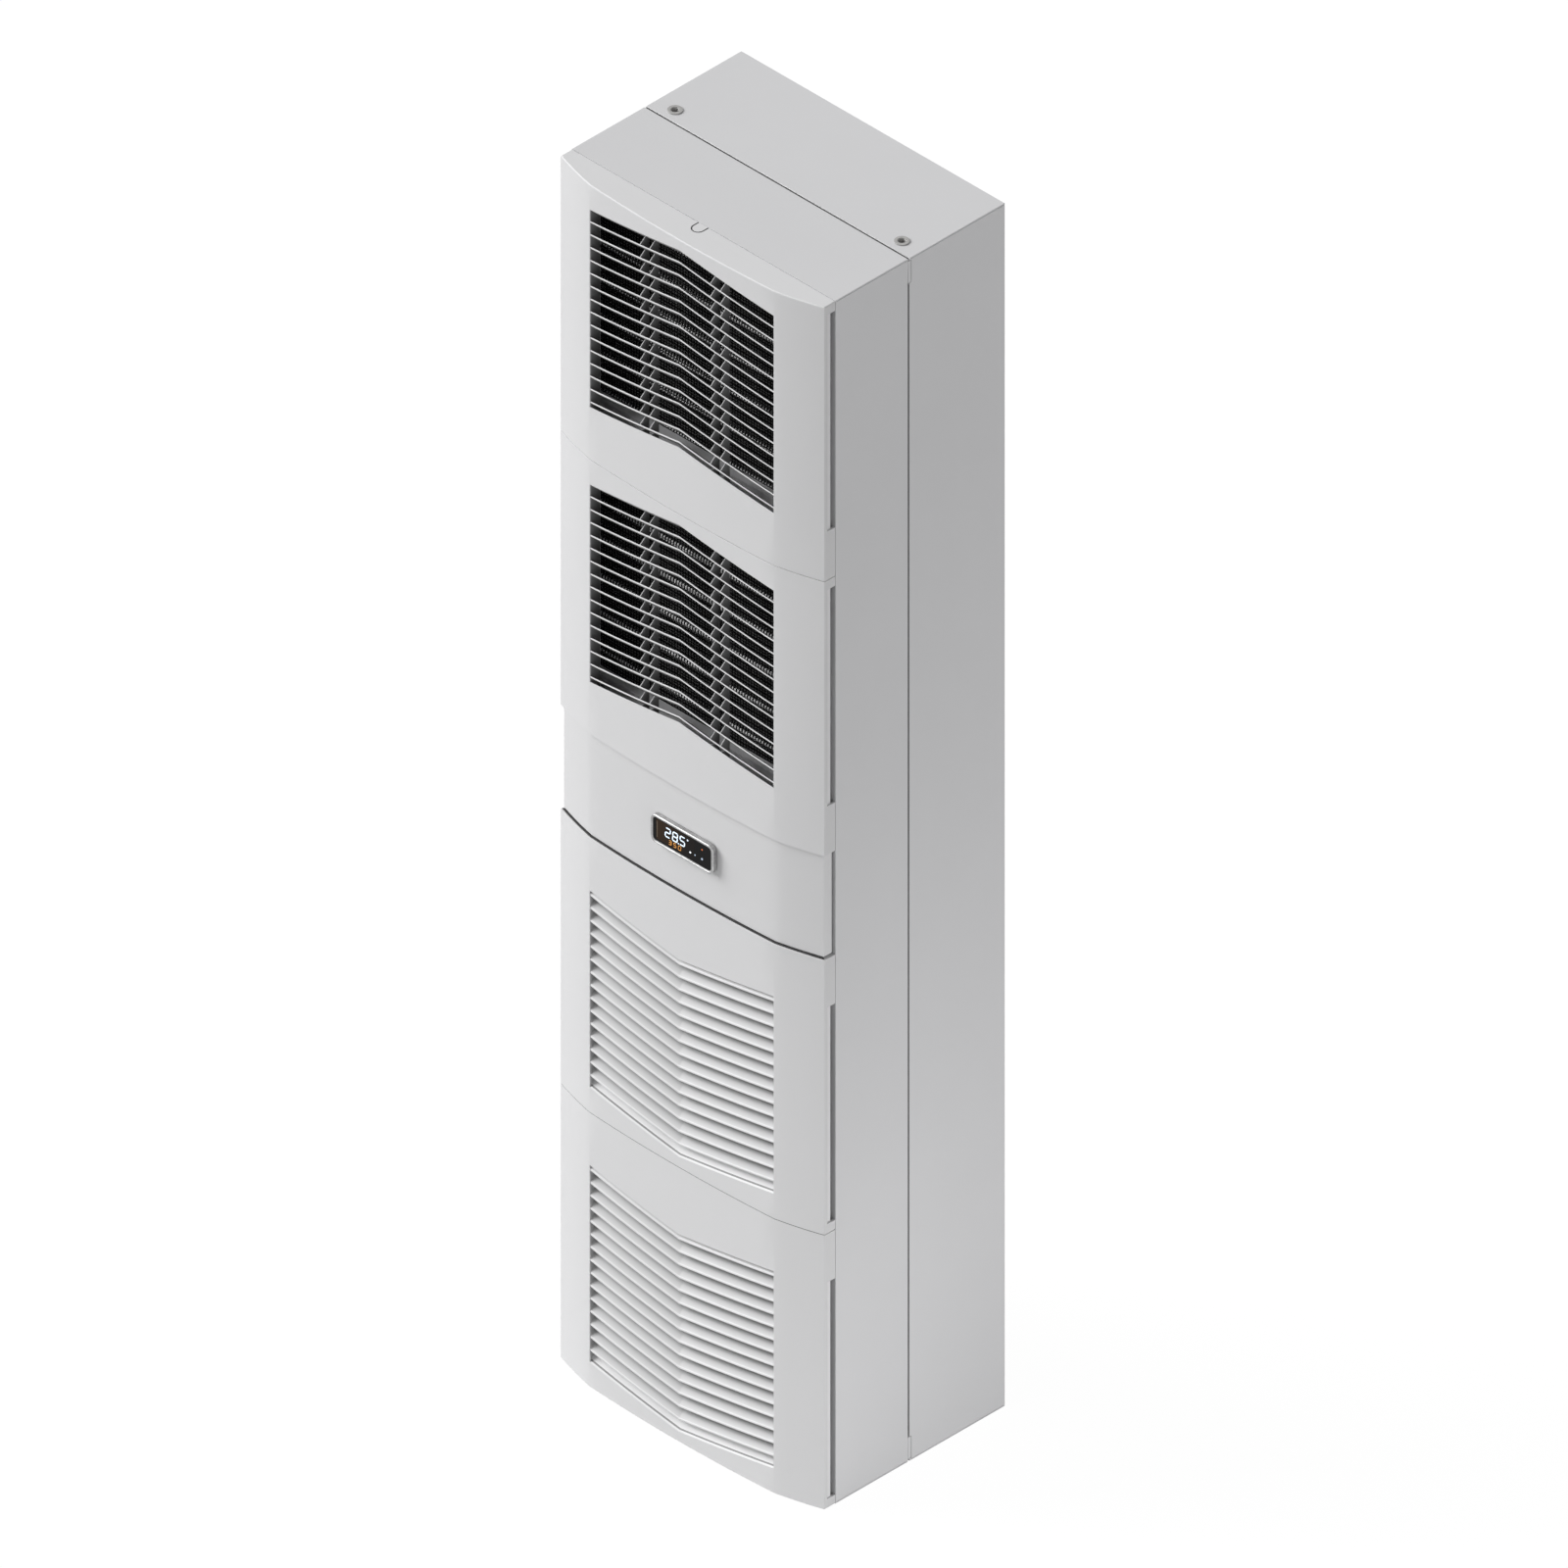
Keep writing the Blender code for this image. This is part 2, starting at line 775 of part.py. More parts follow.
def front_hood():
    inner = inner_half
    bm = bmesh.new()
    box_shell(bm, [
        (((-half_width, half_width), (0, height)), seam_y),
        (((-half_width, half_width), (0, height)), hood_back_y),
        (((-inner, inner), (sheet, height - sheet)), hood_back_y),
        (((-inner, inner), (sheet, height - sheet)), seam_y + sheet),
    ], "Y")
    added = bmesh.new()
    opening_half = half_width - hood_window_side
    for low, high in hood_windows():
        box(added, about(0, opening_half + sheet), (seam_y + sheet / 2, seam_y + sheet + window_flange),
            (low - sheet, high + sheet))
    skin = (inner + tab_skin, half_width - tab_skin)
    for z_span in locating_tab_places():
        for x_span in (skin, (-skin[1], -skin[0])):
            box(added, x_span, (hood_back_y - overrun, hood_back_y + tab_reach), z_span)
    bm = carve(bm, added, "UNION")
    removed = bmesh.new()
    y_span = (seam_y - overrun, seam_y + sheet + window_flange + overrun)
    for low, high in hood_windows():
        box(removed, about(0, opening_half), y_span, (low, high))
    y_span = (seam_y - overrun, seam_y + sheet + overrun)
    for bottom in module_bottoms.values():
        for z in (-prong_offset, prong_offset):
            for x in (-prong_x, prong_x):
                box(removed, about(x, prong_thickness / 2 + prong_play), y_span,
                    about(bottom + module_height / 2 + z, prong_height / 2 + prong_play))
    disc(removed, "Y", (bezel_x, bezel_z), cable_hole_radius, *y_span, plain)
    bm = carve(bm, removed)
    add_object("front_hood", bm, material("hood_paint", (0.56, 0.56, 0.57), 0.5, 0))


def nut_places():
    return [(x, z) for x in (-nut_x, nut_x) for z in (nut_end_margin, height - nut_end_margin)]


def rear_housing():
    outer = ((-half_width, half_width), (0, height))
    inner = ((-inner_half, inner_half), (sheet, height - sheet))
    step = sheet + fit
    lap = ((-spigot_half, spigot_half), (step, height - step))
    lap_in = ((-spigot_half + sheet, spigot_half - sheet), (step + sheet, height - step - sheet))
    spigot_y = hood_back_y - spigot_lap + joint_gap
    bm = bmesh.new()
    box_shell(bm, [
        (outer, rear_back_y),
        (outer, rear_front_y),
        (lap, rear_front_y),
        (lap, spigot_y),
        (lap_in, spigot_y),
        (lap_in, rear_front_y + sheet),
        (inner, rear_front_y + sheet),
        (inner, rear_inner_y),
    ], "Y")
    nuts = bmesh.new()
    mounting_nuts(nuts)
    bm = carve(bm, nuts, "UNION")
    removed = bmesh.new()
    through = (rear_inner_y - overrun, rear_back_y + overrun)
    disc(removed, "Y", (0, intake_z), intake_radius, *through, fine)
    box(removed, about(0, outlet_width / 2), through, (outlet_bottom, outlet_bottom + outlet_height))
    box(removed, about(connector_x, connector_width / 2), through, about(connector_z, connector_height / 2))
    for place in nut_places():
        disc(removed, "Y", place, nut_bore, rear_back_y - nut_length - overrun, through[1], medium)
    for x in (-insert_x, insert_x):
        disc(removed, "Z", (x, seam_y + insert_y), insert_radius + fit,
             height - sheet - overrun, height + overrun, medium)
    disc(removed, "Z", (drain_x, seam_y + drain_y), hose_radius + fit, -overrun, sheet + overrun, plain)
    notch = (rear_front_y - overrun, hood_back_y + tab_reach + tab_play)
    skin = (spigot_half + tab_skin, half_width + overrun)
    for low, high in locating_tab_places():
        for x_span in (skin, (-skin[1], -skin[0])):
            box(removed, x_span, notch, (low - tab_play, high + tab_play))
    bm = carve(bm, removed)
    add_object("rear_housing", bm, material("housing_paint", (0.57, 0.57, 0.58), 0.5, 0))


def partition():
    bm = bmesh.new()
    z_span = (sheet + fit, height - sheet - fit)
    box(bm, about(0, inner_half - fit), (partition_y, partition_y + sheet), z_span)
    removed = bmesh.new()
    for place in grommet_places():
        disc(removed, "Y", place, grommet_radius - grommet_lip + fit, partition_y - overrun,
             partition_y + sheet + overrun, plain)
    bm = carve(bm, removed)
    add_object("partition", bm, material("zinc_sheet", (0.5, 0.51, 0.52), 0.35, 1))


def grommet_places():
    return [(feed_x, feed_cross_z), (lane_x, suction_cross_z)]


def pipe_grommets():
    finish = material("grommet_rubber", (0.02, 0.02, 0.02), 0.7, 0)
    names = ("feed_grommet", "suction_grommet")
    for name, place, bore in zip(names, grommet_places(), (pipe_radius, suction_radius)):
        bm = bmesh.new()
        lip = grommet_radius
        neck = grommet_radius - grommet_lip
        front = partition_y - fit
        back = rear_seat_y
        profile = [
            (bore + fit, front - grommet_groove), (lip, front - grommet_groove), (lip, front),
            (neck, front), (neck, back), (lip, back), (lip, back + grommet_groove),
            (bore + fit, back + grommet_groove),
        ]
        turned(bm, "Y", place, profile, plain, hollow=True)
        add_object(name, bm, finish)


def rear_seal():
    bm = bmesh.new()
    side = half_width - seal_inset
    outer = rectangle(about(0, side), (seal_inset, height - seal_inset))
    hole = seal_inset + seal_band
    inner = rectangle(about(0, side - seal_band), (hole, height - hole))
    start = rear_back_y + fit
    frame_prism(bm, outer, inner, "Y", start, start + seal_thickness)
    add_object("rear_seal", bm, material("seal_foam", (0.03, 0.03, 0.03), 0.9, 0))


def lifting_inserts():
    finish = material("zinc_plate", (0.62, 0.6, 0.55), 0.3, 1)
    top = height + fit
    profile = [
        (insert_bore, top + insert_flange), (insert_flange_radius, top + insert_flange),
        (insert_flange_radius, top), (insert_radius, top), (insert_radius, top - insert_length),
        (insert_bore, top - insert_length),
    ]
    for name, x in (("lifting_insert_left", -insert_x), ("lifting_insert_right", insert_x)):
        bm = bmesh.new()
        turned(bm, "Z", (x, seam_y + insert_y), profile, medium, hollow=True)
        add_object(name, bm, finish)


def mounting_nuts(bm):
    # Threaded nuts pressed into the back wall from outside.
    profile = [
        (nut_flange_radius, rear_back_y + insert_flange), (nut_flange_radius, rear_back_y - sheet / 2),
        (nut_radius, rear_back_y - sheet / 2), (nut_radius, rear_back_y - nut_length),
    ]
    for place in nut_places():
        turned(bm, "Y", place, profile, hexagon)


def rear_intake_guard():
    bm = bmesh.new()
    outer = intake_radius + grille_lap
    start = rear_back_y + fit
    y_span = (start, start + grille_thickness)
    disc(bm, "Y", (0, intake_z), outer, *y_span, fine)
    removed = bmesh.new()
    middle = (guard_hub + intake_radius) / 2
    for near, far in ((guard_hub, middle - guard_bar / 2), (middle + guard_bar / 2, intake_radius - fit)):
        for index in range(guard_sectors):
            outline = ring_sector(near, far, index, guard_sectors, guard_bar)
            prism(removed, outline, "Y", y_span[0] - overrun, y_span[1] + overrun)
    bm = carve(bm, removed)
    add_object("rear_intake_guard", bm, material("guard_black", (0.03, 0.03, 0.03), 0.5, 0))


def ring_sector(near, far, index, count, bar):
    # One opening of a round guard, between two radii and two straight arms.
    outline = []
    for radius, places in ((far, (0, 1 / 2, 1)), (near, (1, 1 / 2, 0))):
        edge = math.asin(bar / 2 / radius)
        sweep = math.tau / count - edge * 2
        for place in places:
            angle = math.tau * index / count + edge + sweep * place
            outline.append((radius * math.cos(angle), intake_z + radius * math.sin(angle)))
    return outline


def rear_outlet_grille():
    bm = bmesh.new()
    start = rear_back_y + fit
    y_span = (start, start + grille_thickness)
    z_span = (outlet_bottom, outlet_bottom + outlet_height)
    box(bm, about(0, outlet_width / 2 + grille_lap), y_span, (z_span[0] - grille_lap, z_span[1] + grille_lap))
    removed = bmesh.new()
    opening = (outlet_height - slat_width * (outlet_slots - 1)) / outlet_slots
    for index in range(outlet_slots):
        low = outlet_bottom + (opening + slat_width) * index
        box(removed, about(0, outlet_width / 2 - fit), (y_span[0] - overrun, y_span[1] + overrun),
            (low, low + opening))
    bm = carve(bm, removed)
    add_object("rear_outlet_grille", bm, material("grille_black", (0.03, 0.03, 0.03), 0.5, 0))


def mains_connector():
    bm = bmesh.new()
    place = (connector_x, connector_z)
    size = (connector_width + connector_lap * 2, connector_height + connector_lap * 2)
    start = rear_back_y + fit
    prism(bm, rounded(place, size, connector_lap, 2), "Y", start, start + grille_thickness)
    body = bmesh.new()
    box(body, about(connector_x, connector_width / 2 - fit),
        (start - connector_depth, start + grille_thickness / 2), about(connector_z, connector_height / 2 - fit))
    bm = carve(bm, body, "UNION")
    removed = bmesh.new()
    pitch = connector_width / connector_ways
    for index in range(connector_ways):
        x = connector_x - connector_width / 2 + pitch * (index + 1 / 2)
        box(removed, about(x, pitch / 3), (start - connector_depth / 2, start + grille_thickness + overrun),
            about(connector_z, connector_height / 3))
    bm = carve(bm, removed)
    add_object("mains_connector", bm, material("connector_plastic", (0.05, 0.05, 0.05), 0.5, 0))


# Display band

def display_panel():
    low = band_bottom + seam_gap / 2 + panel_ledge_gap - seam_gap
    z_span = (low, band_bottom + band_height - seam_gap / 2)
    back = seam_y - panel_side_gap
    wall = cover_wall
    bm = bmesh.new()
    profile_solid(bm, panel_set_back, back, z_span)
    cavity = bmesh.new()
    profile_solid(cavity, panel_set_back + wall, back + overrun, (z_span[0] + wall, z_span[1] - wall))
    bm = carve(bm, cavity)
    bosses = bmesh.new()
    middle = (z_span[0] + z_span[1]) / 2
    for x in (-panel_boss_x, panel_boss_x):
        for z in (-panel_boss_z, panel_boss_z):
            disc(bosses, "Y", (x, middle + z), panel_boss_radius,
                 front_y(x) + panel_set_back + wall * 2 / 3, seam_y - fit, plain)
    bm = carve(bm, bosses, "UNION")
    opening = bmesh.new()
    size = (bezel_width - bezel_neck * 2 + fit * 2, bezel_height - bezel_neck * 2 + fit * 2)
    prism(opening, rounded((bezel_x, bezel_z), size, bezel_corner - bezel_neck), "Y",
          seam_y - cover_depth, seam_y - cover_depth + panel_set_back + wall + overrun * 2)
    bm = carve(bm, opening)
    add_object("display_panel", bm, material("panel_plastic", (0.62, 0.62, 0.63), 0.45, 0))


bezel_front_y = seam_y - front_reach
panel_face_y = seam_y - cover_depth + panel_set_back
neck_back_y = panel_face_y + bezel_neck_length
ledge_y = panel_face_y - ledge_depth
neck_inset = bezel_neck + bezel_neck_wall


def bezel_outline(inset):
    size = (bezel_width - inset * 2, bezel_height - inset * 2)
    return rounded((bezel_x, bezel_z), size, max(bezel_corner - inset, bezel_corner / 4))


def display_bezel():
    # A bright frame with a neck behind it that passes through the panel.
    rings = [
        (bezel_outline(bezel_border), bezel_front_y),
        (bezel_outline(0), bezel_front_y),
        (bezel_outline(0), panel_face_y - fit),
        (bezel_outline(bezel_neck), panel_face_y - fit),
        (bezel_outline(bezel_neck), neck_back_y),
        (bezel_outline(neck_inset), neck_back_y),
        (bezel_outline(neck_inset), ledge_y),
        (bezel_outline(bezel_border), ledge_y),
    ]
    bm = bmesh.new()
    loft(bm, [lifted(outline, "Y", level) for outline, level in rings], hollow=True)
    add_object("display_bezel", bm, material("brushed_metal", (0.6, 0.6, 0.6), 0.3, 1))


def display_glass():
    bm = bmesh.new()
    front = bezel_front_y + glass_recess
    prism(bm, bezel_outline(bezel_border + fit), "Y", front, ledge_y - fit)
    add_object("display_glass", bm, material("dark_glass", (0.01, 0.008, 0.006), 0.08, 0))


def display_module():
    # The lamp block in the bezel's neck, on its wider board behind the panel.
    bm = bmesh.new()
    prism(bm, bezel_outline(neck_inset + fit), "Y", ledge_y + fit, neck_back_y + fit * 2)
    board = bmesh.new()
    start = neck_back_y + fit
    box(board, about(bezel_x, module_board_width / 2), (start, start + module_board_depth),
        about(bezel_z, module_board_height / 2))
    bm = carve(bm, board, "UNION")
    add_object("display_module", bm, material("board_green", (0.02, 0.12, 0.05), 0.5, 0))


def display_cable():
    start = neck_back_y + fit * 2 + module_board_depth
    end = box_seat_y - box_depth - lid_thickness - fit * 2
    mid = (start + end) / 2
    sag = cable_hole_radius - cable_radius - fit * 2
    route = [(bezel_x, start, bezel_z), (bezel_x, seam_y, bezel_z), (bezel_x, mid, bezel_z - sag),
             (bezel_x, end, bezel_z)]
    bm = tubes([[Vector(point) for point in route]], cable_radius)
    add_object("display_cable", bm, material("cable_black", (0.02, 0.02, 0.02), 0.6, 0))


# Condenser, in the hood

def condenser_core():
    # A block of upright fins; the grooves between them face the windows.
    bm = bmesh.new()
    pitch = coil_half * 2 / coil_fins
    front = coil_y
    outline = [(coil_half, front + coil_depth), (-coil_half, front + coil_depth)]
    for index in range(coil_fins):
        left = -coil_half + pitch * index
        edge = left + pitch * fin_share
        outline += [(left, front), (edge, front)]
        if index < coil_fins - 1:
            outline += [(edge, front + fin_groove), (left + pitch, front + fin_groove)]
    outline += [(coil_half - pitch * fin_share, front + fin_groove), (coil_half, front + fin_groove)]
    prism(bm, outline, "Z", coil_bottom, coil_top)
    add_object("condenser_core", bm, material("coil_black", (0.012, 0.012, 0.012), 0.5, 0.3))


def tube_z(index):
    return coil_bottom + coil_pitch * (index + 1 / 2)


def return_bends(side, first, places, reach):
    # Hairpins between neighbouring tube ends, standing out of an end plate.
    out = Vector((side * reach, 0, 0))
    routes = []
    for index in range(first, len(places) - 1, 2):
        start, end = places[index], places[index + 1]
        routes.append(bent([start, start + out, end + out, end], bend_radius))
    return tubes(routes, tube_radius)


def condenser_end_plates():
    # Angle plates that carry the coil and are screwed to the hood's front wall.
    finish = material("coil_zinc", (0.55, 0.56, 0.57), 0.35, 1)
    back = coil_y + coil_depth
    for name, side, first in (("condenser_end_left", -1, 0), ("condenser_end_right", 1, 1)):
        outline = [
            (side * coil_plate_x, front_seat_y), (side * (coil_plate_out + plate_flange), front_seat_y),
            (side * (coil_plate_out + plate_flange), front_seat_y + sheet),
            (side * coil_plate_out, front_seat_y + sheet),
            (side * coil_plate_out, back), (side * coil_plate_x, back),
        ]
        bm = bmesh.new()
        prism(bm, outline, "Z", coil_bottom, coil_top)
        middle = side * (coil_plate_x + sheet / 2)
        places = [Vector((middle, coil_mid_y, tube_z(tube))) for tube in range(coil_tubes)]
        bm = carve(bm, return_bends(side, first, places, bend_reach + sheet), "UNION")
        add_object(name, bm, finish)


def fan_tray_span():
    low, high = hood_windows()[2]
    return about((low + high) / 2, tray_half_height)


def fan_centre():
    low, high = fan_tray_span()
    return (0, (low + high) / 2)


def condenser_fan_plate():
    # A pressed tray round the window, with the fan opening in its floor.
    low, high = fan_tray_span()
    floor_y = seam_y + tray_depth + sheet
    outer = (about(0, tray_half), (low, high))
    inner = (about(0, tray_half - sheet), (low + sheet, high - sheet))
    brim = (about(0, coil_plate_out + plate_flange), (low - plate_flange, high + plate_flange))
    bm = bmesh.new()
    box_shell(bm, [
        (outer, floor_y),
        (outer, front_seat_y + sheet),
        (brim, front_seat_y + sheet),
        (brim, front_seat_y),
        (inner, front_seat_y),
        (inner, floor_y - sheet),
    ], "Y")
    removed = bmesh.new()
    disc(removed, "Y", fan_centre(), fan_hole_radius, floor_y - sheet - overrun, floor_y + overrun, fine)
    bm = carve(bm, removed)
    add_object("condenser_fan_plate", bm, material("tray_zinc", (0.5, 0.51, 0.52), 0.35, 1))


def condenser_fan_shroud():
    start = seam_y + tray_depth + sheet + fit
    inner = shroud_radius
    outer = shroud_radius + shroud_wall
    profile = [
        (inner, start), (outer + shroud_flange, start), (outer + shroud_flange, start + shroud_wall),
        (outer, start + shroud_wall), (outer, start + shroud_length), (inner, start + shroud_length),
    ]
    bm = bmesh.new()
    turned(bm, "Y", fan_centre(), profile, fine, hollow=True)
    add_object("condenser_fan_shroud", bm, material("shroud_black", (0.02, 0.02, 0.02), 0.5, 0))


bracket_back_y = seam_y + tray_depth - fit


def condenser_fan_bracket():
    # A four-armed spider in front of the opening that holds the motor.
    bm = bmesh.new()
    middle_x, middle_z = fan_centre()
    arm = bracket_arm / 2
    reach = fan_hole_radius + bracket_overlap
    hub = bracket_hub
    quarter = [(reach, -arm), (reach, arm), (hub, arm), (hub - arm, hub - arm)]
    outline = []
    for turn in range(4):
        angle = math.pi / 2 * turn + math.pi / 4
        outline += [turned_point(point, angle) for point in quarter]
    outline = [(middle_x + x, middle_z + z) for x, z in outline]
    prism(bm, outline, "Y", bracket_back_y - sheet, bracket_back_y)
    add_object("condenser_fan_bracket", bm, material("bracket_zinc", (0.5, 0.51, 0.52), 0.35, 1))


def turned_point(point, angle):
    x, z = point
    return (x * math.cos(angle) - z * math.sin(angle), x * math.sin(angle) + z * math.cos(angle))


def condenser_fan_motor():
    start = bracket_back_y + fit
    body = hub_radius - hub_wall - motor_gap
    profile = [
        (body, start), (body, start + motor_length), (motor_shaft_radius, start + motor_length),
        (motor_shaft_radius, start + motor_length + hub_wall + motor_gap),
    ]
    bm = bmesh.new()
    turned(bm, "Y", fan_centre(), profile, medium)
    add_object("condenser_fan_motor", bm, material("motor_black", (0.03, 0.03, 0.03), 0.4, 0.2))


def condenser_fan_impeller():
    # A cup that turns round the motor, with twisted blades.
    bm = bmesh.new()
    middle_x, middle_z = fan_centre()
    end = bracket_back_y + fit + motor_length + motor_gap + hub_wall
    bore = motor_shaft_radius + fit
    profile = [
        (hub_radius - hub_wall, end - hub_length), (hub_radius, end - hub_length), (hub_radius, end),
        (bore, end), (bore, end - hub_wall), (hub_radius - hub_wall, end - hub_wall),
    ]
    turned(bm, "Y", (middle_x, middle_z), profile, medium, hollow=True)
    middle_y = end - hub_length / 2
    tip_half = tip_chord / 2 * math.cos(tip_pitch)
    tip_radius = math.sqrt(fan_radius ** 2 - tip_half ** 2)
    blades = bmesh.new()
    for index in range(fan_blades):
        turn = math.tau * index / fan_blades
        sections = []
        for share in (0, 1 / 2, 1):
            radius = (hub_radius - hub_wall / 2) * (1 - share) + tip_radius * share
            chord = root_chord * (1 - share) + tip_chord * share
            pitch = root_pitch * (1 - share) + tip_pitch * share
            sections.append(fan_section(radius, chord, pitch, turn, middle_y))
        loft(blades, [[point + Vector((middle_x, 0, middle_z)) for point in ring] for ring in sections])
    bm = carve(bm, blades, "UNION")
    finish = material("impeller_black", (0.02, 0.02, 0.02), 0.45, 0)
    add_object("condenser_fan_impeller", bm, finish, Vector((middle_x, middle_y, middle_z)))


def fan_section(radius, chord, pitch, turn, middle_y):
    # A thin flat section of a fan blade, across its arm at one radius.
    arm = Vector((math.cos(turn), 0, math.sin(turn)))
    across = Vector((-math.sin(turn), 0, math.cos(turn)))
    ahead = Vector((0, 1, 0))
    lie = across * math.cos(pitch) + ahead * math.sin(pitch)
    thick = ahead * math.cos(pitch) - across * math.sin(pitch)
    centre = arm * radius + ahead * middle_y
    corners = ((-1, -1), (1, -1), (1, 1), (-1, 1))
    return [centre + lie * chord / 2 * first + thick * blade_sheet / 2 * second for first, second in corners]


# Evaporator, in the rear housing

def slab_point(along, through):
    # A place on the tilted slab: along it from its lower end, and through it from its front.
    rise = Vector((0, math.sin(slab_tilt), math.cos(slab_tilt)))
    into = Vector((0, math.cos(slab_tilt), -math.sin(slab_tilt)))
    return Vector((0, seam_y + slab_front, slab_z)) + rise * along + into * through


def slab_outline():
    corners = ((0, 0), (slab_length, 0), (slab_length, slab_depth), (0, slab_depth))
    return [(slab_point(*corner).y, slab_point(*corner).z) for corner in corners]


def evaporator_core():
    bm = bmesh.new()
    prism(bm, slab_outline(), "X", -coil_half, coil_half)
    add_object("evaporator_core", bm, material("fin_aluminium", (0.6, 0.61, 0.62), 0.4, 1))


def slab_tube(index):
    return slab_point(slab_length * (index + 1 / 2) / slab_tubes, slab_depth / 2)


def evaporator_end_plates():
    # Gussets from the partition to the back of the slab, with the hairpins of its tubes.
    finish = material("gusset_zinc", (0.5, 0.51, 0.52), 0.35, 1)
    low_front, high_front, high_back, low_back = slab_outline()
    outline = [(rear_seat_y, low_front[1]), (rear_seat_y, slab_z + slab_length / 2),
               high_front, high_back, low_back]
    for name, side, first in (("evaporator_end_left", -1, 0), ("evaporator_end_right", 1, 1)):
        bm = bmesh.new()
        prism(bm, outline, "X", side * coil_plate_x, side * coil_plate_out)
        middle = Vector((side * (coil_plate_x + sheet / 2), 0, 0))
        places = [slab_tube(tube) + middle for tube in range(slab_tubes)]
        bm = carve(bm, return_bends(side, first, places, slab_bend_reach + sheet), "UNION")
        add_object(name, bm, finish)


wheel_motor_back = rear_seat_y + wheel_motor_plate + wheel_motor_length
wheel_y = wheel_motor_back + motor_gap
wheel_front_y = wheel_y + wheel_width


def evaporator_fan_motor():
    centre = (0, intake_z)
    profile = [
        (wheel_motor_flange, rear_seat_y), (wheel_motor_flange, rear_seat_y + wheel_motor_plate),
        (wheel_motor_radius, rear_seat_y + wheel_motor_plate), (wheel_motor_radius, wheel_motor_back),
        (wheel_shaft_radius, wheel_motor_back), (wheel_shaft_radius, wheel_y + wheel_boss_length),
    ]
    bm = bmesh.new()
    turned(bm, "Y", centre, profile, medium)
    add_object("evaporator_fan_motor", bm, material("fan_motor_grey", (0.08, 0.08, 0.085), 0.4, 0.4))


def evaporator_fan_impeller():
    # A radial wheel: disc, backward-curved blades and a front ring with the eye.
    centre = (0, intake_z)
    bore = wheel_shaft_radius + fit
    bm = bmesh.new()
    profile = [
        (bore, wheel_y), (wheel_radius, wheel_y), (wheel_radius, wheel_y + wheel_disc),
        (wheel_boss_radius, wheel_y + wheel_disc), (wheel_boss_radius, wheel_y + wheel_boss_length),
        (bore, wheel_y + wheel_boss_length),
    ]
    turned(bm, "Y", centre, profile, medium, hollow=True)
    collar(bm, "Y", centre, wheel_radius, wheel_eye, wheel_front_y - wheel_disc, wheel_front_y, medium)
    blades = bmesh.new()
    for index in range(wheel_blades):
        outline = wheel_blade(math.tau * index / wheel_blades)
        prism(blades, outline, "Y", wheel_y + wheel_disc / 2, wheel_front_y - wheel_disc / 2)
    bm = carve(bm, blades, "UNION")
    finish = material("wheel_grey", (0.12, 0.12, 0.125), 0.5, 0)
    add_object("evaporator_fan_impeller", bm, finish, Vector((0, wheel_y, intake_z)))


def wheel_blade(turn):
    # Plan of one curved blade: it leans back as it leaves the eye.
    outer = wheel_radius - wheel_disc
    line = []
    for share in (0, 1 / 2, 1):
        radius = wheel_blade_inner * (1 - share) + outer * share
        angle = turn - wheel_blade_lean * share * (2 - share) / 2
        line.append((radius, angle))
    outline = [(radius * math.cos(angle), radius * math.sin(angle)) for radius, angle in line]
    outline += [
        (radius * math.cos(angle + blade_sheet / radius), radius * math.sin(angle + blade_sheet / radius))
        for radius, angle in reversed(line)
    ]
    return [(x, intake_z + z) for x, z in outline]


def inlet_nozzle():
    back = rear_inner_y - fit
    throat = wheel_eye - nozzle_play
    inner = throat - nozzle_wall
    tip = wheel_front_y - nozzle_lap
    profile = [
        (inner, back), (nozzle_flange, back), (nozzle_flange, back - nozzle_wall),
        (throat, back - nozzle_wall), (throat, tip), (inner, tip),
    ]
    bm = bmesh.new()
    turned(bm, "Y", (0, intake_z), profile, medium, hollow=True)
    add_object("inlet_nozzle", bm, material("nozzle_zinc", (0.5, 0.51, 0.52), 0.35, 1))


def condensate_tray():
    bm = bmesh.new()
    outer = (about(0, tray_width / 2), (rear_seat_y, rear_seat_y + tray_run))
    inner = (about(0, tray_width / 2 - sheet), (rear_seat_y + sheet, rear_seat_y + tray_run - sheet))
    top = tray_floor_z + tray_height
    box_shell(bm, [(outer, tray_floor_z), (outer, top), (inner, top), (inner, tray_floor_z + sheet)], "Z")
    place = (drain_x, seam_y + drain_y)
    spigot = bmesh.new()
    disc(spigot, "Z", place, drain_spigot_radius, tray_floor_z - drain_spigot_length,
         tray_floor_z + sheet / 2, plain)
    bm = carve(bm, spigot, "UNION")
    bore = bmesh.new()
    disc(bore, "Z", place, drain_spigot_radius - sheet, tray_floor_z - drain_spigot_length - overrun,
         tray_floor_z + sheet + overrun, plain)
    bm = carve(bm, bore)
    add_object("condensate_tray", bm, material("tray_plastic", (0.25, 0.26, 0.27), 0.5, 0))


def drain_hose():
    # A soft tube pushed over the tray's spigot, down to its hole in the base.
    bm = bmesh.new()
    place = (drain_x, seam_y + drain_y)
    collar(bm, "Z", place, hose_radius, drain_spigot_radius + fit, hose_floor_gap,
           tray_floor_z - drain_spigot_length + hose_lap, plain)
    add_object("drain_hose", bm, material("hose_rubber", (0.3, 0.31, 0.32), 0.5, 0))


# Compressor group, in the foot of the hood

comp_axis = (0, seam_y + comp_y)
plate_low = sheet + fit
plate_top = plate_low + base_plate_thickness


def foot_places():
    sides = (-comp_foot_x, comp_foot_x)
    return [(x, seam_y + comp_y + y) for x in sides for y in (-comp_foot_y, comp_foot_y)]


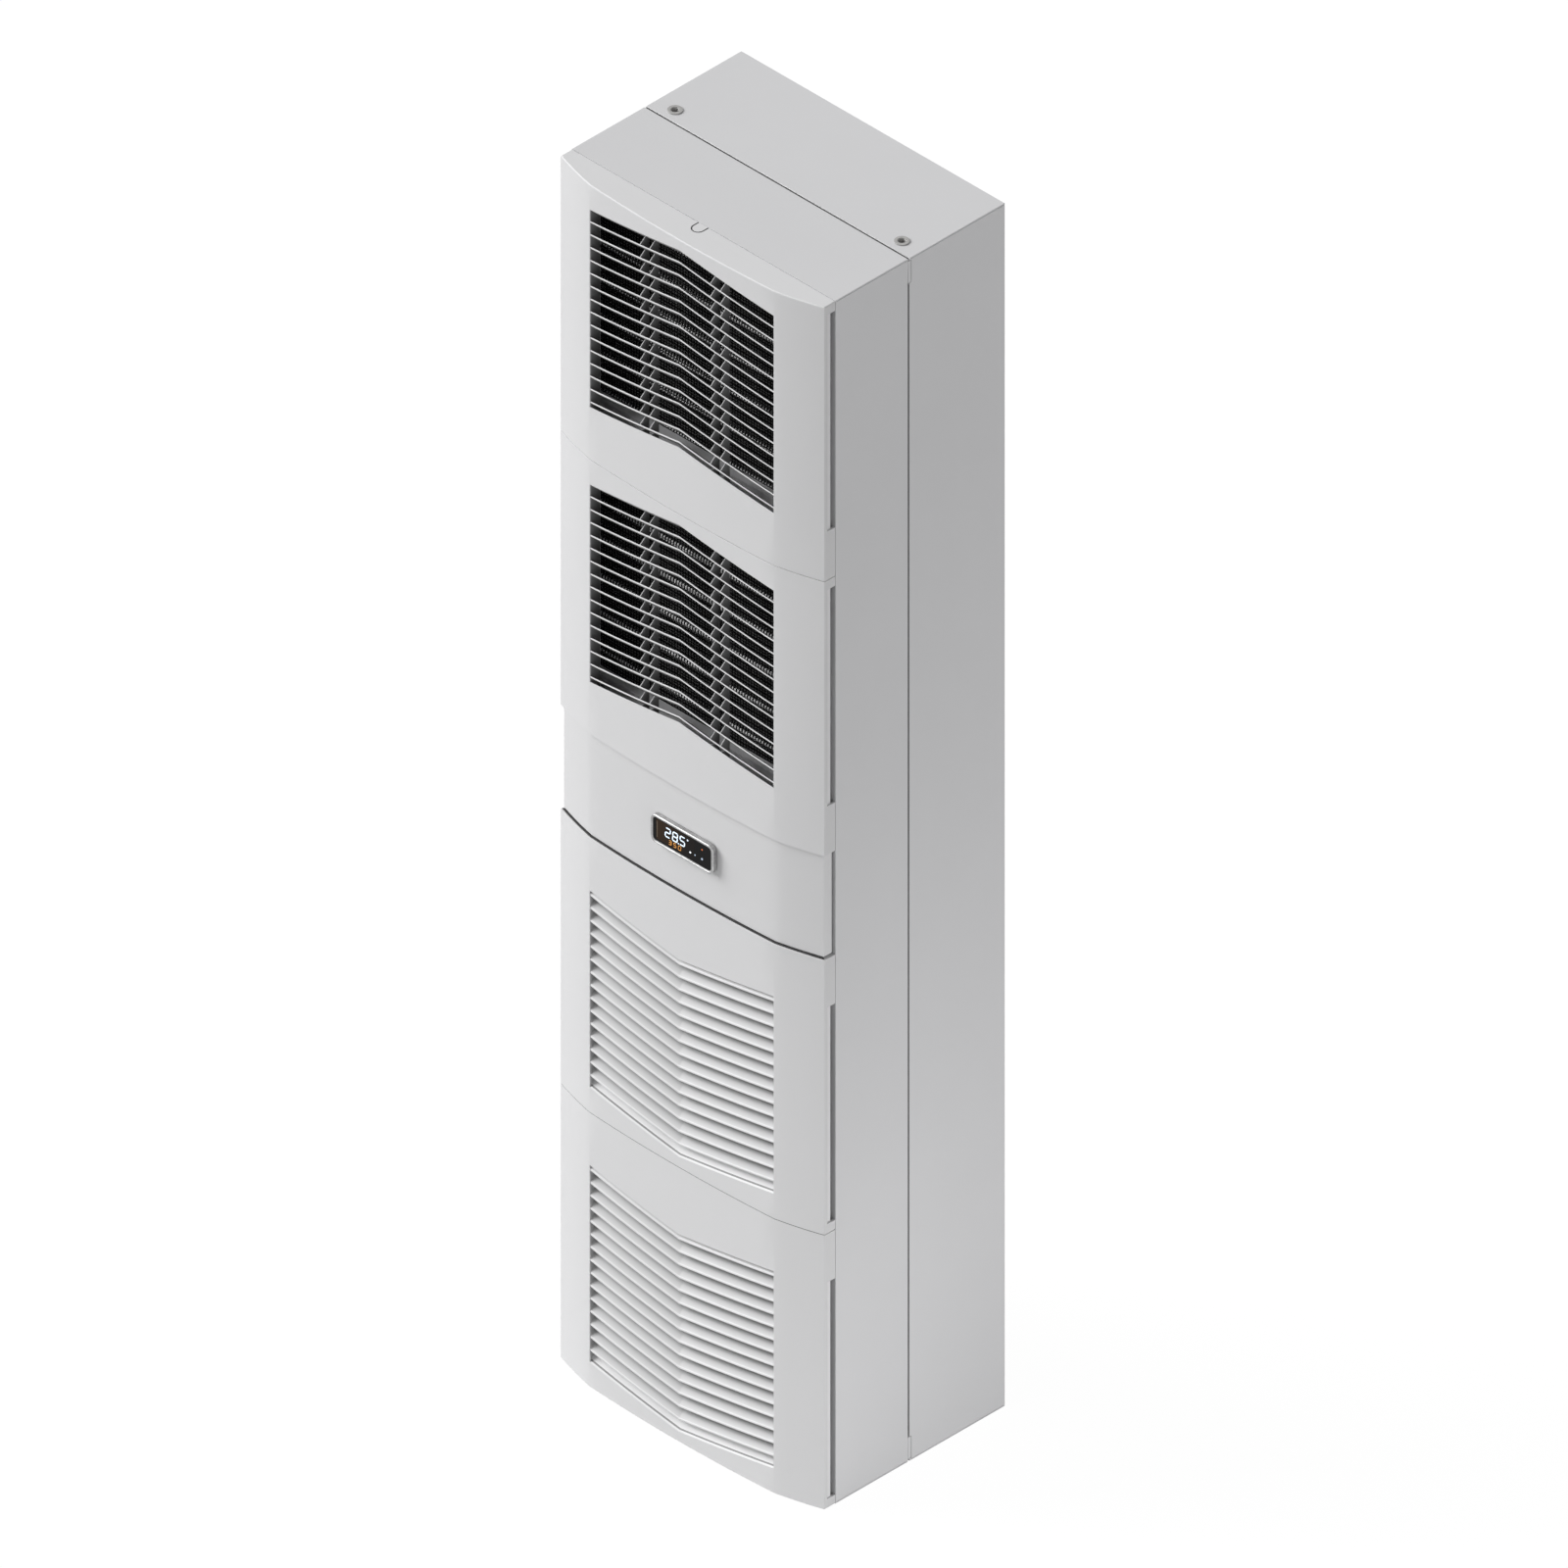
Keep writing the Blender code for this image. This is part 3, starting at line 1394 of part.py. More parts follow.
def compressor():
    bm = bmesh.new()
    edge = comp_foot_x + comp_foot_margin
    depth = comp_foot_y + comp_foot_margin
    box(bm, about(0, edge), about(comp_axis[1], depth), (comp_base_z, comp_base_z + comp_foot_sheet))
    pot = bmesh.new()
    bottom = comp_base_z + comp_foot_sheet / 2
    profile = [
        (comp_flat_radius, bottom - comp_foot_sheet * 2), (comp_radius, bottom + comp_shoulder),
        (comp_radius, comp_top_z - comp_shoulder),
        (comp_radius - comp_round, comp_top_z - comp_shoulder / 3),
        (comp_flat_radius, comp_top_z),
    ]
    turned(pot, "Z", comp_axis, profile, medium)
    bm = carve(bm, pot, "UNION")
    holes = bmesh.new()
    for place in foot_places():
        disc(holes, "Z", place, bolt_radius + fit, comp_base_z - overrun,
             comp_base_z + comp_foot_sheet + overrun, plain)
    bm = carve(bm, holes)
    add_object("compressor", bm, material("compressor_black", (0.015, 0.015, 0.015), 0.35, 0.2))


def rubber_mounts():
    finish = material("mount_rubber", (0.02, 0.02, 0.02), 0.8, 0)
    for number, place in enumerate(foot_places(), 1):
        bm = bmesh.new()
        collar(bm, "Z", place, mount_radius, bolt_radius + fit, plate_top + fit, comp_base_z - fit, plain)
        add_object(f"rubber_mount_{number}", bm, finish)


def compressor_tray():
    # A base plate with four studs, each with its nut above the compressor's foot.
    bm = bmesh.new()
    box(bm, about(0, base_plate_half), (seam_y + base_plate_front, seam_y + base_plate_back),
        (plate_low, plate_top))
    studs = bmesh.new()
    nut = comp_base_z + comp_foot_sheet + fit
    profile = [
        (bolt_radius, plate_top - base_plate_thickness / 2), (bolt_radius, nut), (bolt_head_radius, nut),
        (bolt_head_radius, nut + bolt_head),
    ]
    for place in foot_places():
        turned(studs, "Z", place, profile, hexagon)
    bm = carve(bm, studs, "UNION")
    add_object("compressor_tray", bm, material("base_zinc", (0.5, 0.51, 0.52), 0.35, 1))


accumulator_x = -(comp_radius + fit * 2 + accumulator_radius)


def accumulator():
    bm = bmesh.new()
    narrow = accumulator_radius / 2
    profile = [
        (narrow, accumulator_bottom), (accumulator_radius, accumulator_bottom + accumulator_shoulder),
        (accumulator_radius, accumulator_top - accumulator_shoulder), (narrow, accumulator_top),
    ]
    turned(bm, "Z", (accumulator_x, comp_axis[1]), profile, coarse)
    add_object("accumulator", bm, material("accumulator_black", (0.015, 0.015, 0.015), 0.35, 0.2))


def terminal_cover():
    bm = bmesh.new()
    start = comp_top_z + fit
    profile = [(cap_radius, start), (cap_radius, start + cap_height * 3 / 4),
               (cap_radius * 3 / 4, start + cap_height)]
    turned(bm, "Z", (-cap_x, comp_axis[1]), profile, coarse)
    add_object("terminal_cover", bm, material("cap_plastic", (0.04, 0.04, 0.04), 0.5, 0))


# Refrigerant lines

def copper_lines():
    copper = material("line_copper", (0.7, 0.3, 0.16), 0.35, 1)
    end_x = coil_plate_out + fit
    top_z = tube_z(coil_tubes - 1)
    low_z = tube_z(0)
    axis_y = comp_axis[1]
    rise_y = seam_y + discharge_y
    discharge = [
        (discharge_x, rise_y, comp_top_z + fit), (discharge_x, rise_y, discharge_z),
        (lane_x, rise_y, discharge_z), (lane_x, rise_y, top_z), (lane_x, coil_mid_y, top_z),
        (end_x, coil_mid_y, top_z),
    ]
    add_object("discharge_pipe", tubes([bent(discharge, pipe_bend)], pipe_radius), copper)
    across_y = seam_y + drier_y
    liquid = [
        (end_x, coil_mid_y, low_z), (liquid_x, coil_mid_y, low_z), (liquid_x, coil_mid_y, liquid_z),
        (drier_x, coil_mid_y, liquid_z), (drier_x, across_y, liquid_z),
        (drier_x, across_y, drier_top + fit),
    ]
    add_object("liquid_pipe", tubes([bent(liquid, pipe_bend)], pipe_radius), copper)
    valve_mid = seam_y + valve_y
    feed = [
        (drier_x, across_y, drier_bottom - fit), (drier_x, across_y, feed_cross_z),
        (feed_x, across_y, feed_cross_z), (feed_x, valve_mid, feed_cross_z),
        (feed_x, valve_mid, valve_bottom - fit),
    ]
    add_object("feed_pipe", tubes([bent(feed, pipe_bend)], pipe_radius), copper)
    inlet = slab_tube(0)
    injection = [
        (feed_x, valve_mid, valve_bottom + valve_height + fit), (feed_x, valve_mid, inlet.z),
        (feed_x, inlet.y, inlet.z), (end_x, inlet.y, inlet.z),
    ]
    add_object("injection_pipe", tubes([bent(injection, pipe_bend)], pipe_radius), copper)
    outlet = slab_tube(slab_tubes - 1)
    rear_y = seam_y + suction_rear_y
    run_y = seam_y + suction_y
    suction = [
        (end_x, outlet.y, outlet.z), (lane_x, outlet.y, outlet.z), (lane_x, rear_y, outlet.z),
        (lane_x, rear_y, suction_cross_z), (lane_x, run_y, suction_cross_z),
        (lane_x, run_y, suction_low_z), (accumulator_x, run_y, suction_low_z),
        (accumulator_x, axis_y, suction_low_z), (accumulator_x, axis_y, accumulator_top + fit),
    ]
    add_object("suction_pipe", tubes([bent(suction, pipe_bend)], suction_radius), copper)
    elbow = [
        (accumulator_x, axis_y, accumulator_bottom - fit), (accumulator_x, axis_y, elbow_z),
        (-comp_radius - fit, axis_y, elbow_z),
    ]
    add_object("suction_elbow", tubes([bent(elbow, pipe_bend)], suction_radius), copper)


def filter_drier():
    bm = bmesh.new()
    narrow = drier_radius / 2
    profile = [
        (narrow, drier_bottom), (drier_radius, drier_bottom + drier_shoulder),
        (drier_radius, drier_top - drier_shoulder), (narrow, drier_top),
    ]
    turned(bm, "Z", (drier_x, seam_y + drier_y), profile, coarse)
    add_object("filter_drier", bm, material("drier_copper", (0.68, 0.32, 0.18), 0.35, 1))


def expansion_valve():
    bm = bmesh.new()
    place = (feed_x, seam_y + valve_y)
    z_span = (valve_bottom, valve_bottom + valve_height)
    box(bm, about(place[0], valve_half), about(place[1], valve_half), z_span)
    head = bmesh.new()
    z = valve_bottom + valve_height / 2
    turned(head, "Y", (feed_x, z), [
        (valve_half * 2 / 3, place[1]), (valve_half * 2 / 3, place[1] + valve_half * 2),
        (valve_half * 3 / 2, place[1] + valve_half * 2), (valve_half * 3 / 2, place[1] + valve_half * 3),
    ], coarse)
    bm = carve(bm, head, "UNION")
    add_object("expansion_valve", bm, material("valve_brass", (0.6, 0.45, 0.18), 0.35, 1))


# Electronics, behind the display band

def electronics_box():
    bm = bmesh.new()
    front = box_seat_y - box_depth
    outer = (about(0, box_half), (box_bottom, box_top))
    inner = (about(0, box_half - sheet), (box_bottom + sheet, box_top - sheet))
    box_shell(bm, [(outer, box_seat_y), (outer, front), (inner, front), (inner, box_seat_y - sheet)], "Y")
    add_object("electronics_box", bm, material("box_zinc", (0.5, 0.51, 0.52), 0.35, 1))


def electronics_lid():
    bm = bmesh.new()
    back = box_seat_y - box_depth - fit
    box(bm, about(0, box_half), (back - lid_thickness, back), (box_bottom, box_top))
    add_object("electronics_lid", bm, material("lid_zinc", (0.5, 0.51, 0.52), 0.35, 1))


def controller_board():
    # The board on four stand-offs, with its relays and capacitors.
    floor_y = box_seat_y - sheet - fit
    face = floor_y - board_stand
    bm = bmesh.new()
    right = box_half - sheet - board_margin
    z_span = (box_bottom + board_margin * 2, box_top - board_margin)
    box(bm, (-right, right), (face - board_thickness, face), z_span)
    added = bmesh.new()
    low = box_bottom + board_margin * 3
    high = box_top - board_margin * 2
    for x in (-right + board_margin, right - board_margin):
        for z in (low, high):
            disc(added, "Y", (x, z), board_stand / 2, face - board_thickness / 2, floor_y, hexagon)
    for index in range(board_chips):
        x = -right / 2 + right / (board_chips - 1) * index
        box(added, about(x, board_margin / 2), (face - board_thickness - chip_height, face - board_thickness / 2),
            about((low + high) / 2, board_margin))
    bm = carve(bm, added, "UNION")
    add_object("controller_board", bm, material("circuit_green", (0.02, 0.13, 0.05), 0.5, 0))


def terminal_block():
    bm = bmesh.new()
    pitch = box_half / terminal_ways
    z_low = box_bottom + sheet + fit
    back = box_seat_y - sheet - fit
    z_span = (z_low, z_low + terminal_height)
    box(bm, (0, pitch * terminal_ways - sheet * 2), (back - terminal_depth, back), z_span)
    removed = bmesh.new()
    for index in range(terminal_ways):
        x = pitch * (index + 1 / 2) - sheet
        disc(removed, "Z", (x, back - terminal_depth / 2), pitch / 4, z_low + terminal_height / 2,
             z_low + terminal_height + overrun, hexagon)
    bm = carve(bm, removed)
    add_object("terminal_block", bm, material("terminal_grey", (0.4, 0.42, 0.43), 0.5, 0))


def build():
    for old in list(bpy.data.objects):
        bpy.data.objects.remove(old)
    louvre_covers()
    release_tabs()
    front_hood()
    rear_housing()
    partition()
    pipe_grommets()
    rear_seal()
    lifting_inserts()
    rear_intake_guard()
    rear_outlet_grille()
    mains_connector()
    display_panel()
    display_bezel()
    display_glass()
    display_module()
    display_cable()
    condenser_core()
    condenser_end_plates()
    condenser_fan_plate()
    condenser_fan_shroud()
    condenser_fan_bracket()
    condenser_fan_motor()
    condenser_fan_impeller()
    evaporator_core()
    evaporator_end_plates()
    evaporator_fan_motor()
    evaporator_fan_impeller()
    inlet_nozzle()
    condensate_tray()
    drain_hose()
    compressor()
    rubber_mounts()
    compressor_tray()
    accumulator()
    terminal_cover()
    copper_lines()
    filter_drier()
    expansion_valve()
    electronics_box()
    electronics_lid()
    controller_board()
    terminal_block()


build()
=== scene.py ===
# Enclosure cooling unit: finishes, detailed pieces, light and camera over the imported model.
# Metres, +Z up, the louvred front faces -Y. Every piece has its place in its mesh.

import math

import bmesh
import bpy
from mathutils import Matrix, Vector

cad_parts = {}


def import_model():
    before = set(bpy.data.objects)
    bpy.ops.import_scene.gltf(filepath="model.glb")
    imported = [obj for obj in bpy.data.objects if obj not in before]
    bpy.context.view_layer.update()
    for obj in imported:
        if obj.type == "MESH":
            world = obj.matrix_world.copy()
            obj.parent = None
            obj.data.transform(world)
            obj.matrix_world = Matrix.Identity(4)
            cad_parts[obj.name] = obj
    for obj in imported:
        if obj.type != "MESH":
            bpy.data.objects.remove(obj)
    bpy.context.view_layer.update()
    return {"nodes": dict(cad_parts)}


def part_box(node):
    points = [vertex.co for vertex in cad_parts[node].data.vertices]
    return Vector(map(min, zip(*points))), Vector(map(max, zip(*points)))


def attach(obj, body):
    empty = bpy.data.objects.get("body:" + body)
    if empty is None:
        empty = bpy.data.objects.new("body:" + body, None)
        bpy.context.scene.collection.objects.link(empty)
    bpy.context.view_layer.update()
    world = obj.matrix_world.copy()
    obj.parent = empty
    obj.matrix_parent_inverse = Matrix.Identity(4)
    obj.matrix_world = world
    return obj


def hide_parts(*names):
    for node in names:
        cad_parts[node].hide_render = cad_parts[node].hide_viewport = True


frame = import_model()
mm = 0.001

# Sizes that the part's source also names. Blades and ribs are drawn thinner here, and chamfers
# straighter, than in the solids.
width = 400 * mm
module_height = 361 * mm
band_height = 136 * mm
seam_y = -109.55 * mm
sheet = 1.5 * mm
fit = 0.3 * mm
height = module_height * 4 + band_height
half_width = width / 2
seam_gap = 0.8 * mm
cover_height = module_height - seam_gap
cover_depth = 38 * mm
crease_depth = 33.5 * mm
side_depth = 17 * mm
crease_x = 140 * mm
chamfer_bulge = 0.9 * mm
cover_wall = 3 * mm
louvre_half = 139.5 * mm
louvre_height = 259 * mm
louvre_rise = 19 * mm
louvre_drop = 33 * mm
collar_wall = 2 * mm
collar_lip = 0.5 * mm
blade_count = 15
blade_pitch = 16.9 * mm
first_blade = 15.7 * mm
blade_thickness = 1.4 * mm
blade_depth = 15 * mm
blade_inset = 0.4 * mm
rib_places = (46 * mm, 61 * mm)
rib_thickness = 0.8 * mm
side_slot_top = 12.5 * mm
side_slot_bottom = 64 * mm
side_slot_front = 12.7 * mm
side_flange_back = 5.75 * mm
side_flange_step = 2.3 * mm
notch_width = 16.4 * mm
notch_gap = 1.6 * mm
tongue_thickness = 2.4 * mm
prong_x = 183 * mm
prong_offset = 110 * mm
prong_reach = 10 * mm
panel_set_back = 3 * mm
overrun = 2 * mm

# Edge radii of the covers, seen only here
small_rim = 0.3 * mm
large_rim = 1.5 * mm

module_bottoms = {
    1: module_height * 3 + band_height,
    2: module_height * 2 + band_height,
    3: module_height,
    4: 0,
}
flipped_covers = (3, 4)
outer_covers = (1, 4)
band_bottom = module_height * 2

coil_half = 170 * mm
fin_pitch = 4.15 * mm
fin_count = int(coil_half * 2 / fin_pitch)
fin_start = -fin_pitch * (fin_count - 1) / 2


# Shader maths


class Value:
    """A shader socket that can be used in ordinary sums."""

    def __init__(self, graph, socket):
        self.graph = graph
        self.socket = socket

    def _sum(self, kind, first, second):
        return self.graph.node("ShaderNodeMath", operation=kind, _in=(first, second))

    def __add__(self, other):
        return self._sum("ADD", self, other)

    def __radd__(self, other):
        return self._sum("ADD", other, self)

    def __sub__(self, other):
        return self._sum("SUBTRACT", self, other)

    def __rsub__(self, other):
        return self._sum("SUBTRACT", other, self)

    def __mul__(self, other):
        return self._sum("MULTIPLY", self, other)

    def __rmul__(self, other):
        return self._sum("MULTIPLY", other, self)

    def __truediv__(self, other):
        return self._sum("DIVIDE", self, other)

    def __gt__(self, other):
        return self._sum("GREATER_THAN", self, other)

    def __lt__(self, other):
        return self._sum("LESS_THAN", self, other)

    def wrapped(self, period):
        return self._sum("FLOORED_MODULO", self, period) / period

    def absolute(self):
        return self._sum("ABSOLUTE", self, 0)

    def at_least(self, other):
        return self._sum("MAXIMUM", self, other)

    def at_most(self, other):
        return self._sum("MINIMUM", self, other)

    def ramp(self, low, high):
        """0 at low and below, 1 at high and above."""
        return self.graph.node("ShaderNodeMapRange", _in=(self, low, high, 0, 1))


class Graph:
    """The node tree of one material, or of the world."""

    def __init__(self, name, tree=None):
        self.tree = tree
        if tree is None:
            self.material = bpy.data.materials.new(name)
            self.material.use_nodes = True
            self.tree = self.material.node_tree
            self.shader = self.tree.nodes["Principled BSDF"]

    def node(self, kind, _in=(), _out=0, **settings):
        """One node; _in are its inputs in order or by name, and the result is the output _out."""
        made = self.tree.nodes.new(kind)
        for key, value in settings.items():
            setattr(made, key, value)
        pairs = _in.items() if isinstance(_in, dict) else enumerate(_in)
        for key, value in pairs:
            self.join(made.inputs[key], value)
        return Value(self, made.outputs[_out])

    def join(self, socket, value):
        if isinstance(value, Value):
            self.tree.links.new(value.socket, socket)
        else:
            socket.default_value = value

    def place(self):
        """The point in the object's own metres."""
        return self.node("ShaderNodeTexCoord", _out="Object")

    def parts(self, of="Object"):
        """The three parts of a point, or those of the way a face looks with "Normal"."""
        split = self.tree.nodes.new("ShaderNodeSeparateXYZ")
        self.join(split.inputs[0], self.node("ShaderNodeTexCoord", _out=of))
        return [Value(self, output) for output in split.outputs]

    def depth(self):
        """How far a point lies behind the arc of the covers' middle."""
        across, back, _ = self.parts()
        share = across / crease_x
        return back - (seam_y - cover_depth) - share * share * (cover_depth - crease_depth)

    def stretched(self, scale):
        return self.node("ShaderNodeMapping", _in={"Vector": self.place(), "Scale": scale})

    def noise(self, scale, detail=3, rough=0.5, where=None):
        return self.node("ShaderNodeTexNoise", _out="Fac", _in={
            "Vector": where or self.place(), "Scale": scale, "Detail": detail, "Roughness": rough})

    def cells(self, scale):
        return self.node("ShaderNodeTexVoronoi", _out="Distance",
                         _in={"Vector": self.place(), "Scale": scale})

    def fin_mask(self, reach):
        """1 within the part of each fin's pitch that lies nearest to the fin."""
        across = self.parts()[0]
        return ((across - fin_start).wrapped(fin_pitch) - 0.5).absolute() > reach

    def blend(self, share, first, second):
        return self.node("ShaderNodeMix", data_type="RGBA", _out=2,
                         _in={0: share, 6: first, 7: second})

    def shades(self, share, level, low, high, tint=(1, 1, 1)):
        """From low to high times a grey level."""
        return self.blend(share, tone(level * low, tint), tone(level * high, tint))

    def bump(self, level, strength, distance):
        made = self.node("ShaderNodeBump", _out="Normal",
                         _in={"Height": level, "Strength": strength, "Distance": distance})
        self.join(self.shader.inputs["Normal"], made)

    def gloss(self, level):
        self.shader.inputs["Specular IOR Level"].default_value = level

    def put(self, **values):
        for key, value in values.items():
            self.join(self.shader.inputs[key.replace("_", " ").title()], value)


def tone(level, tint=(1, 1, 1)):
    return (level * tint[0], level * tint[1], level * tint[2], 1)


def painted(name, level):
    # Powder coat: a fine rippled skin with hardly any change of colour.
    graph = Graph(name)
    cloud = graph.noise(3.5, 4, 0.6)
    ripple = graph.noise(900, 2, 0.5)
    graph.put(base_color=graph.shades(cloud.ramp(0.3, 0.7), level, 0.985, 1.015, (1, 1, 1.015)),
              roughness=0.42 + ripple * 0.08 + cloud * 0.04)
    graph.bump(ripple, 0.05, 0.0004)
    return graph.material


def moulded(name, level, rough=0.5, tint=(1, 1, 1.01), grain=1600, relief=0.06, inner=None):
    # Injection-moulded plastic with an eroded texture; inner gives a mask of painted shade and
    # the grey that it darkens to there.
    graph = Graph(name)
    cloud = graph.noise(5, 3, 0.5)
    speck = graph.noise(grain, 3, 0.7)
    skin = graph.shades((cloud * 0.7 + speck * 0.3).ramp(0.3, 0.7), level, 0.985, 1.015, tint)
    if inner:
        where, dark = inner
        skin = graph.blend(where(graph), skin, tone(dark, tint))
    graph.put(base_color=skin, roughness=rough + speck * 0.1 - 0.05)
    graph.bump(speck, relief, 0.0003)
    return graph.material


def painted_window_shade(graph):
    # Painted shade, where the moulding is darkened: the upright walls inside a louvre window, a
    # thin band and the back of its sloping walls, and the skirts at the covers' sides.
    across, _, up = graph.parts()
    depth = graph.depth()
    sideways, _, upward = (part.absolute() for part in graph.parts("Normal"))
    within = across.absolute() < louvre_half + 0.3 * mm
    sloping = within * (upward > 0.4) * (upward < 0.95)
    upright = sideways > 0.5
    walls = within * upright * depth.ramp(0.8 * mm, 2.5 * mm)
    line = sloping * (depth > 1.6 * mm) * (depth < 3 * mm)
    floor = sloping * depth.ramp(4 * mm, 10 * mm) * (up > band_bottom) * 0.55
    skirt = upright * (across.absolute() > half_width - 1 * mm) * 0.13
    return walls * (1 - (up < band_bottom) * 0.42) + line + floor + skirt


def painted_blade_shade(graph):
    # Painted shade that darkens the blades' faces towards their back, more so in the lower covers;
    # the noses, least darkened, keep the blades' lighter grey as a painted highlight.
    depth = graph.depth()
    lower = graph.parts()[2] < band_bottom
    nose = (depth.ramp(0.7 * mm, 1.5 * mm) * 0.42).at_least(lower * 0.18)
    back = depth.ramp(1.5 * mm, 14 * mm) * 0.58
    return nose + back + lower * depth.ramp(5 * mm, 9 * mm) * 0.26


def painted_rib_side_shade(graph):
    # Painted shade on the ribs' sides.
    return graph.parts("Normal")[0].absolute() > 0.5


def zinc(name, level=0.5, rough=0.34):
    # Galvanised sheet: soft crystals that catch the light in different ways.
    graph = Graph(name)
    cloud = graph.noise(14, 4, 0.6)
    share = (graph.cells(90) * 0.6 + cloud * 0.4).ramp(0.15, 0.75)
    dull, bright = tone(level * 0.82, (1, 1.01, 1.03)), tone(level * 1.12, (1, 1.01, 1.02))
    graph.put(base_color=graph.blend(share, dull, bright), metallic=0.9,
              roughness=rough + share * 0.18)
    graph.bump(cloud, 0.08, 0.0004)
    return graph.material


def brushed(name, level, along, rough, tint=(1, 1, 1), metallic=1.0, spread=0.2):
    # Metal with fine drawn lines; along gives the stretch of the lines on each axis.
    graph = Graph(name)
    lines = graph.noise(1, 4, 0.65, graph.stretched(along))
    cloud = graph.noise(60, 3, 0.6)
    share = (lines * 0.6 + cloud * 0.4).ramp(0.3, 0.7)
    graph.put(base_color=graph.shades(share, level, 1 - spread, 1 + spread / 2, tint),
              metallic=metallic, roughness=rough + lines * 0.2)
    graph.bump(lines, 0.12, 0.0002)
    return graph.material


def copper(name):
    graph = Graph(name)
    cloud = graph.noise(35, 4, 0.65)
    spots = graph.noise(160, 2, 0.5)
    fresh, dull = (0.76, 0.34, 0.19, 1), (0.36, 0.15, 0.09, 1)
    graph.put(base_color=graph.blend((cloud * 0.7 + spots * 0.3).ramp(0.42, 0.72), fresh, dull),
              metallic=0.95, roughness=0.24 + cloud * 0.25)
    graph.bump(spots, 0.05, 0.0003)
    return graph.material


def rubber(name, level, rough):
    graph = Graph(name)
    cloud = graph.noise(60, 3, 0.6)
    speck = graph.noise(900, 2, 0.5)
    graph.put(base_color=graph.shades(cloud.ramp(0.35, 0.7), level, 0.7, 1.7),
              roughness=rough + speck * 0.2)
    graph.bump(speck, 0.12, 0.0004)
    return graph.material


def foam(name):
    # Closed-cell foam with open pores at its skin.
    graph = Graph(name)
    pores = graph.cells(520)
    cloud = graph.noise(40, 3, 0.6)
    graph.put(base_color=graph.blend(pores.ramp(0.1, 0.55), tone(0.012), tone(0.05)),
              roughness=0.85 + cloud * 0.1)
    graph.bump(pores, 0.5, 0.0006)
    return graph.material


def enamel(name, level, rough):
    # Thick black paint over a steel shell, with a slight orange peel.
    graph = Graph(name)
    peel = graph.noise(260, 2, 0.5)
    dust = graph.noise(9, 5, 0.7)
    graph.put(base_color=graph.shades(dust.ramp(0.4, 0.8), level, 1, 2.6),
              roughness=rough + dust * 0.22, coat_weight=0.25)
    graph.bump(peel, 0.09, 0.0006)
    return graph.material


def finned(name, pitch):
    # The edge-on look of a bare fin pack: narrow edges in the fins' metal grey, and deep gaps
    # between them darkened as painted shade.
    graph = Graph(name)
    ridge = ((graph.parts()[0].wrapped(pitch) - 0.5).absolute() * 2).ramp(0.25, 0.8)
    cloud = graph.noise(25, 3, 0.6)
    graph.put(base_color=graph.blend(ridge * (0.75 + cloud * 0.4), tone(0.05), tone(0.72)),
              metallic=0.8, roughness=0.35 + cloud * 0.2)
    graph.bump(ridge, 0.6, 0.0006)
    return graph.material


def fin_black(name, fin_level=0.05):
    # Coated fin sheet, lighter at each fin: the fins' own coat, and on the strips across the coil's
    # front a painted highlight for the fins' lit front edges.
    graph = Graph(name)
    rim = graph.fin_mask(0.27)
    cloud = graph.noise(40, 3, 0.6)
    graph.put(base_color=graph.blend(rim * (0.7 + cloud * 0.5), tone(0.003), tone(fin_level)),
              roughness=0.5 + cloud * 0.2)
    graph.gloss(0.12)
    graph.bump(rim, 0.5, 0.0003)
    return graph.material


def tube_between(name):
    # Bright tube between the black collars of the fins.
    graph = Graph(name)
    cloud = graph.noise(50, 3, 0.6)
    graph.put(base_color=graph.blend(graph.fin_mask(0.25), tone(0.95), tone(0.004)),
              roughness=0.4 + cloud * 0.2)
    graph.gloss(0.2)
    return graph.material


def circuit(name):
    # Solder resist over straight tracks.
    graph = Graph(name)
    up = graph.parts()[2]
    lanes = (up.wrapped(2.6 * mm) - 0.5).absolute() < 0.18
    tracks = lanes * (graph.noise(45, 1, 0.3) > 0.47)
    cloud = graph.noise(120, 2, 0.5)
    graph.put(base_color=graph.blend(tracks, (0.012, 0.085, 0.035, 1), (0.03, 0.2, 0.08, 1)),
              roughness=0.3 + cloud * 0.2)
    graph.bump(tracks, 0.3, 0.0001)
    return graph.material


def glass_black(name):
    graph = Graph(name)
    smear = graph.noise(30, 4, 0.7)
    graph.put(base_color=graph.blend(smear, tone(0.002), tone(0.005)), roughness=0.1 + smear * 0.06)
    graph.gloss(0.08)
    return graph.material


def lcd_brown(name):
    # The unlit liquid-crystal window: amber brown, darker to its lower right.
    graph = Graph(name)
    across, _, up = graph.parts()
    share = (across * 22 - (up - 0.79) * 9 + 0.6).ramp(0, 1)
    dots = graph.noise(700, 1, 0.4)
    amber, dark = (0.03, 0.015, 0.0045, 1), (0.006, 0.004, 0.003, 1)
    graph.put(base_color=graph.blend(share + dots * 0.1, amber, dark), roughness=0.2 + dots * 0.05)
    graph.gloss(0.08)
    return graph.material


def lamp(name, tint, strength):
    graph = Graph(name)
    cloud = graph.noise(400, 2, 0.5)
    graph.put(base_color=tone(0.2, tint), roughness=0.4, emission_strength=strength,
              emission_color=graph.blend(cloud, tone(0.93, tint), tone(1, tint)))
    return graph.material


coat_light = painted("hood_powder_coat", 0.66)
coat_rear = painted("housing_powder_coat", 0.665)
# Covers with painted shade inside their windows and on their skirts.
cover_skin = moulded("cover_moulding", 0.715, inner=(painted_window_shade, 0.2))
# Blades lighter than the covers: a painted highlight.
blade_skin = moulded("blade_moulding", 0.84, inner=(painted_blade_shade, 0.2))
